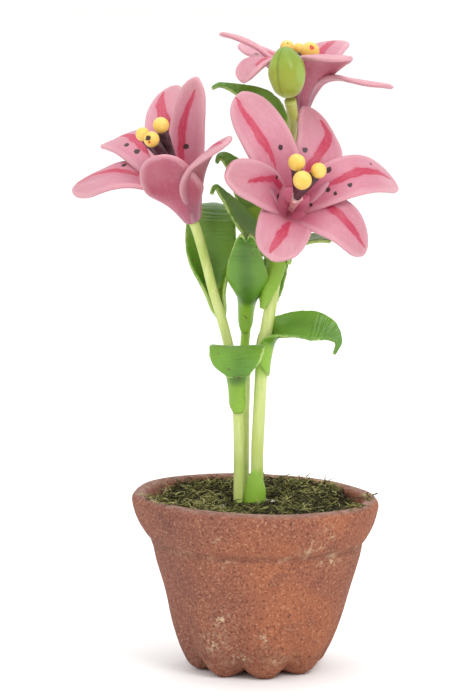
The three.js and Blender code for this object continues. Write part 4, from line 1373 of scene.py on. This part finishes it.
def aimed(axis, centre):
    """A matrix that turns +Z to an axis and moves to a centre."""
    return Matrix.Translation(centre) @ Vector(axis).to_track_quat("Z", "Y").to_matrix().to_4x4()


class LILY_OT_blooms(bpy.types.Operator):
    """Shapes the petals of the three open lilies and paints them"""

    bl_idname = "lily.blooms"
    bl_label = "Blooms"

    def execute(self, context):
        sizes, colours = context.scene.lily_sizes, context.scene.lily_colours
        for name, bloom in BLOOMS.items():
            base, petals = bloom_frame(bloom), bloom["petals"]
            spines = [petal_spine(base, petal) for petal in petals]
            shapes = [petal_shape(p, i, sizes.petal_half_width) for i, p in enumerate(petals)]
            dots = []
            for petal, t, x, radius in bloom["dots"]:
                spine, shape = spines[petal], shapes[petal]
                middle, _, _ = blade_place(spine, shape, x / blend(shape["width"], t), t)
                top = middle + spine(t)[2] * sizes.petal_thickness / 2
                dots.append((top * MM, radius * MM))
            bm = bmesh.new()
            streak = bm.verts.layers.float_vector.new("streak")
            for spine, shape, marks in zip(spines, shapes, bloom["streaks"]):
                petal = add_blade(bm, spine, shape, *PETAL_GRID, sizes.petal_thickness)
                along, across = (bm.verts.layers.float[n] for n in ("along", "across"))
                for v in petal:
                    centre, half = brushed(marks, v[along])
                    v[streak] = (v[across] - centre, half, 0)
            layers = float_layers(bm, "along", "edge", "inside")
            for v in add_throat(bm, base, petals, spines):
                v[layers["along"]] = THROAT_END
                v[layers["edge"]] = v[layers["inside"]] = 1.0
                v[streak] = (9.0, -1.0, 0)
            clay = petal_clay(f"petal_clay_{name}", colours, dots)
            finish_piece(bm, f"{name}_lily", clay, [f"{name}_bloom"], levels=1)
        return {"FINISHED"}


# Dabs of paint on some of the balls: place, radius and colour
ANTHER_STAINS = {
    ("left", 2): (((-11.75, -8.5, 60.7), 0.36, "3a2420"), ((-11.6, -8.45, 60.2), 0.2, "c2572a")),
    ("top", 0): (((6.15, 3.5, 70.35), 0.26, "2c1a10"), ((6.3, 3.42, 69.85), 0.3, "c7361f")),
    ("top", 1): (((3.6, 4.8, 70.3), 0.22, "3a2a12"),),
}


class LILY_OT_stamens(bpy.types.Operator):
    """Sets the dark filaments, yellow balls and pale pistils in the throats"""

    bl_idname = "lily.stamens"
    bl_label = "Stamens and pistils"

    def execute(self, context):
        colours = context.scene.lily_colours
        paint, pale = painted_filament(colours), pistil_clay(colours)
        plain = anther_clay(colours, "anther_clay")
        for name, bloom in BLOOMS.items():
            root, axis, first, second = bloom_frame(bloom)
            top = root + axis * bloom["filament_root"]
            filaments = bmesh.new()
            for seed, (x, y, z, radius) in enumerate(bloom["anthers"]):
                centre = Vector((x, y, z))
                run = (centre - top).normalized()
                end = centre - run * (radius * 0.8)
                line, _ = curve_through([top - run * 0.2, top.lerp(end, 0.5), end], 24)
                add_rod(filaments, line, (0.4, 0.52, 0.6, 0.62), sides=24, seed=seed + 3, flat=0.22)
                ball = bmesh.new()
                bmesh.ops.create_uvsphere(ball, u_segments=40, v_segments=24, radius=radius)
                for v in ball.verts:
                    v.co *= 1 + 0.018 * wander(*(v.co * 1.1), seed=seed + 11)
                bmesh.ops.translate(ball, vec=centre, verts=ball.verts)
                stains = ANTHER_STAINS.get((name, seed))
                skin, node = plain, f"{name}_anther_{seed + 1}"
                if stains:
                    skin = anther_clay(colours, f"anther_clay_{name}_{seed + 1}", stains)
                finish_piece(ball, f"{name}_ball_{seed + 1}", skin, [node])
            bmesh.ops.recalc_face_normals(filaments, faces=filaments.faces)
            nodes = [f"{name}_filaments"]
            finish_piece(filaments, f"{name}_filament_paint", paint, nodes)

            pistil = bmesh.new()
            low, high = 2.6, bloom["filament_root"] - 0.3
            line, _ = curve_through([root + axis * k for k in (low, (low + high) / 2, high)], 16)
            add_rod(pistil, line, (0.34, 0.4, 0.5, 0.55), sides=24, seed=4, flat=0.2)
            for k in range(3):
                angle = math.radians(120 * k + 20)
                way = first * math.cos(angle) + second * math.sin(angle)
                centre = root + axis * (high - 0.15) + way * 0.42
                lobe = bmesh.ops.create_icosphere(pistil, subdivisions=3, radius=0.34)["verts"]
                for v in lobe:
                    v.co = centre + v.co * (1 + 0.3 * wander(*(v.co * 3), seed=k))
            bmesh.ops.recalc_face_normals(pistil, faces=pistil.faces)
            finish_piece(pistil, f"{name}_pistil_tip", pale, [f"{name}_pistil"])
        return {"FINISHED"}


# Bud

BUD_CENTRE = (3.45, -2.6, 67.45)
BUD_AXIS = (-0.06, -0.08, 1)
BUD_RADIUS = 2.1
BUD_HALF_LENGTH = 2.85


def bud_clay():
    """Yellow-green air-dry clay with pressed seams: satin, with painted shade darkening the seams,
    paler toward its left and right sides and at the foot."""
    material, tree, place = start_material(
        "bud_clay", Roughness=0.4, IOR=1.46, Subsurface_Weight=0.3,
        Subsurface_Radius=(0.8, 1.0, 0.3), Subsurface_Scale=0.6 * MM,
    )
    tint = ramp(tree, attribute(tree, "along"), (
        (0.0, "a3ae5f"), (0.15, "8b952c"), (0.5, "8b9427"), (0.8, "7f932b"), (1.0, "789336"),
    ))
    # Painted shade darkens the pressed seams
    seam = step(tree, attribute(tree, "seam"), 0.25, 1.0, 0, 0.65)
    tint = mix(tree, seam, tint, linear("667b1c"))
    cloud = step(tree, grain(tree, place, 1.6, 3), 0.45, 0.7, 0, 0.4)
    tint = mix(tree, cloud, tint, linear("a0ad4e"))
    # Paler toward the bud's left and right sides
    tint = mix(tree, step(tree, attribute(tree, "fold"), 0.4, 1.0, 0, 0.5), tint, linear("8fae5a"))
    return dressed(material, tint, bump(tree, grain(tree, place, 0.35, 3), 0.04))


class LILY_OT_bud(bpy.types.Operator):
    """Folds the closed bud"""

    bl_idname = "lily.bud"
    bl_label = "Bud"

    def execute(self, context):
        bm = bmesh.new()
        bmesh.ops.create_uvsphere(bm, u_segments=144, v_segments=80, radius=1.0)
        marks = float_layers(bm, "along", "seam", "fold")
        for v in bm.verts:
            n = v.co.normalized()
            # The front of the bud is -Y; the angle runs toward +X
            angle = math.atan2(n.x, -n.y) + 0.14 * n.z
            about = math.hypot(n.x, n.y)
            wave = abs(math.sin(1.5 * (angle - 0.05)))
            seam = (1 - wave) ** 5 * min(1.0, about * 1.6)
            swell = 1 - 0.1 * seam + 0.035 * math.sin(2 * angle + 0.9)
            swell += 0.03 * wander(*(n * 2.3), seed=15)
            taper = 1 - 0.07 * n.z - 0.1 * max(0.0, n.z) ** 2 + 0.05 * wander(*(n * 1.4), seed=3)
            wide = BUD_RADIUS * swell * taper
            tall = BUD_HALF_LENGTH * (1 - 0.06 * seam * (n.z > 0))
            v.co = Vector((n.x * wide, n.y * wide, n.z * tall - 0.3 * n.x * max(0.0, n.z)))
            v[marks["along"]] = (n.z + 1) / 2
            v[marks["seam"]] = seam
            # The fold mark rises toward the bud's left and right sides
            v[marks["fold"]] = smooth((abs(n.x) - 0.75) / 0.25)
        bmesh.ops.transform(bm, matrix=aimed(BUD_AXIS, BUD_CENTRE), verts=bm.verts)
        finish_piece(bm, "bud_folded", bud_clay(), ["bud"])
        return {"FINISHED"}


# Stage


FLOOR_RADIUS = 4.0
ROOM_STRENGTH = 1.06
CAMERA_AIM = (-2.464, 0, 36.2)
CAMERA_TILT = 8.1
CAMERA_DISTANCE = 0.42
CAMERA_LENS = 192.86

# Soft boxes: place, size and power in watts, each aimed at the middle of the plant
PLANT_MIDDLE = (0, 0, 0.04)
BOXES = (
    ("key_box", (0.24, -0.42, 0.5), 0.22, 1.7),
    ("fill_box", (-0.5, -0.3, 0.28), 0.4, 0.3),
    ("top_box", (-0.05, 0.1, 0.62), 0.4, 0.9),
    ("back_box", (0.2, 0.55, 0.35), 0.4, 0.3),
)


def seamless_paper(colours):
    """Matt white background paper, with a faint unevenness."""
    material, tree, place = start_material("seamless_paper", Roughness=0.95, IOR=1.45)
    tone = step(tree, grain(tree, place, 60.0, 2), 0.3, 0.7)
    return dressed(material, mix(tree, tone, rgba(colours.floor), linear("fafafa")))


class LILY_OT_stage(bpy.types.Operator):
    """Sets the pale floor, the soft lights and the camera"""

    bl_idname = "lily.stage"
    bl_label = "Floor, lights and camera"

    def execute(self, context):
        scene = context.scene
        bm = bmesh.new()
        bmesh.ops.create_circle(bm, cap_ends=True, segments=128, radius=FLOOR_RADIUS)
        mesh = bpy.data.meshes.new("paper_floor")
        bm.to_mesh(mesh)
        bm.free()
        mesh.materials.append(seamless_paper(scene.lily_colours))
        floor = bpy.data.objects.new("paper_floor", mesh)
        scene.collection.objects.link(floor)

        world = bpy.data.worlds.new("soft_room")
        scene.world = world
        world.use_nodes = True
        background = world.node_tree.nodes["Background"].inputs
        background[0].default_value = (1.0, 1.0, 1.0, 1.0)
        background[1].default_value = ROOM_STRENGTH

        for name, place, wide, power in BOXES:
            light = bpy.data.lights.new(name, "AREA")
            light.shape, light.size, light.energy = "SQUARE", wide, power
            lamp = bpy.data.objects.new(name, light)
            scene.collection.objects.link(lamp)
            lamp.location = place
            away = Vector(place) - Vector(PLANT_MIDDLE)
            lamp.rotation_euler = away.to_track_quat("Z", "Y").to_euler()

        lens = bpy.data.cameras.new("camera")
        lens.sensor_fit, lens.sensor_height, lens.lens = "VERTICAL", 36.0, CAMERA_LENS
        lens.clip_start, lens.clip_end = 0.01, 20.0
        camera = bpy.data.objects.new("camera", lens)
        scene.collection.objects.link(camera)
        tilt = math.radians(CAMERA_TILT)
        back = Vector((0, -math.cos(tilt), math.sin(tilt))) * CAMERA_DISTANCE
        camera.location = Vector(CAMERA_AIM) * MM + back
        camera.rotation_euler = (math.radians(90) - tilt, 0, 0)
        scene.camera = camera
        scene.view_settings.view_transform = "Standard"
        scene.view_settings.look = "None"
        return {"FINISHED"}


# Sidebar panel and registration

OPERATORS = (
    LILY_OT_pot, LILY_OT_ground, LILY_OT_stems, LILY_OT_leaves, LILY_OT_blooms, LILY_OT_stamens,
    LILY_OT_bud, LILY_OT_stage,
)


class LILY_PT_sidebar(bpy.types.Panel):
    """Lists the steps, sizes and colours of the miniature lily"""

    bl_idname = "LILY_PT_sidebar"
    bl_label = "Lily"
    bl_space_type = "VIEW_3D"
    bl_region_type = "UI"
    bl_category = "Lily"

    def draw(self, context):
        for kind in OPERATORS:
            self.layout.operator(kind.bl_idname)
        for group in (context.scene.lily_sizes, context.scene.lily_colours):
            box = self.layout.box()
            for name in group.__annotations__:
                box.prop(group, name)


CLASSES = (LilySizes, LilyColours) + OPERATORS + (LILY_PT_sidebar,)


def register():
    for kind in CLASSES:
        bpy.utils.register_class(kind)
    bpy.types.Scene.lily_sizes = bpy.props.PointerProperty(type=LilySizes)
    bpy.types.Scene.lily_colours = bpy.props.PointerProperty(type=LilyColours)


def unregister():
    del bpy.types.Scene.lily_colours
    del bpy.types.Scene.lily_sizes
    for kind in reversed(CLASSES):
        bpy.utils.unregister_class(kind)


def main():
    register()
    bpy.ops.lily.pot()
    bpy.ops.lily.ground()
    bpy.ops.lily.stems()
    bpy.ops.lily.leaves()
    bpy.ops.lily.blooms()
    bpy.ops.lily.stamens()
    bpy.ops.lily.bud()
    bpy.ops.lily.stage()


if __name__ == "__main__":
    main()
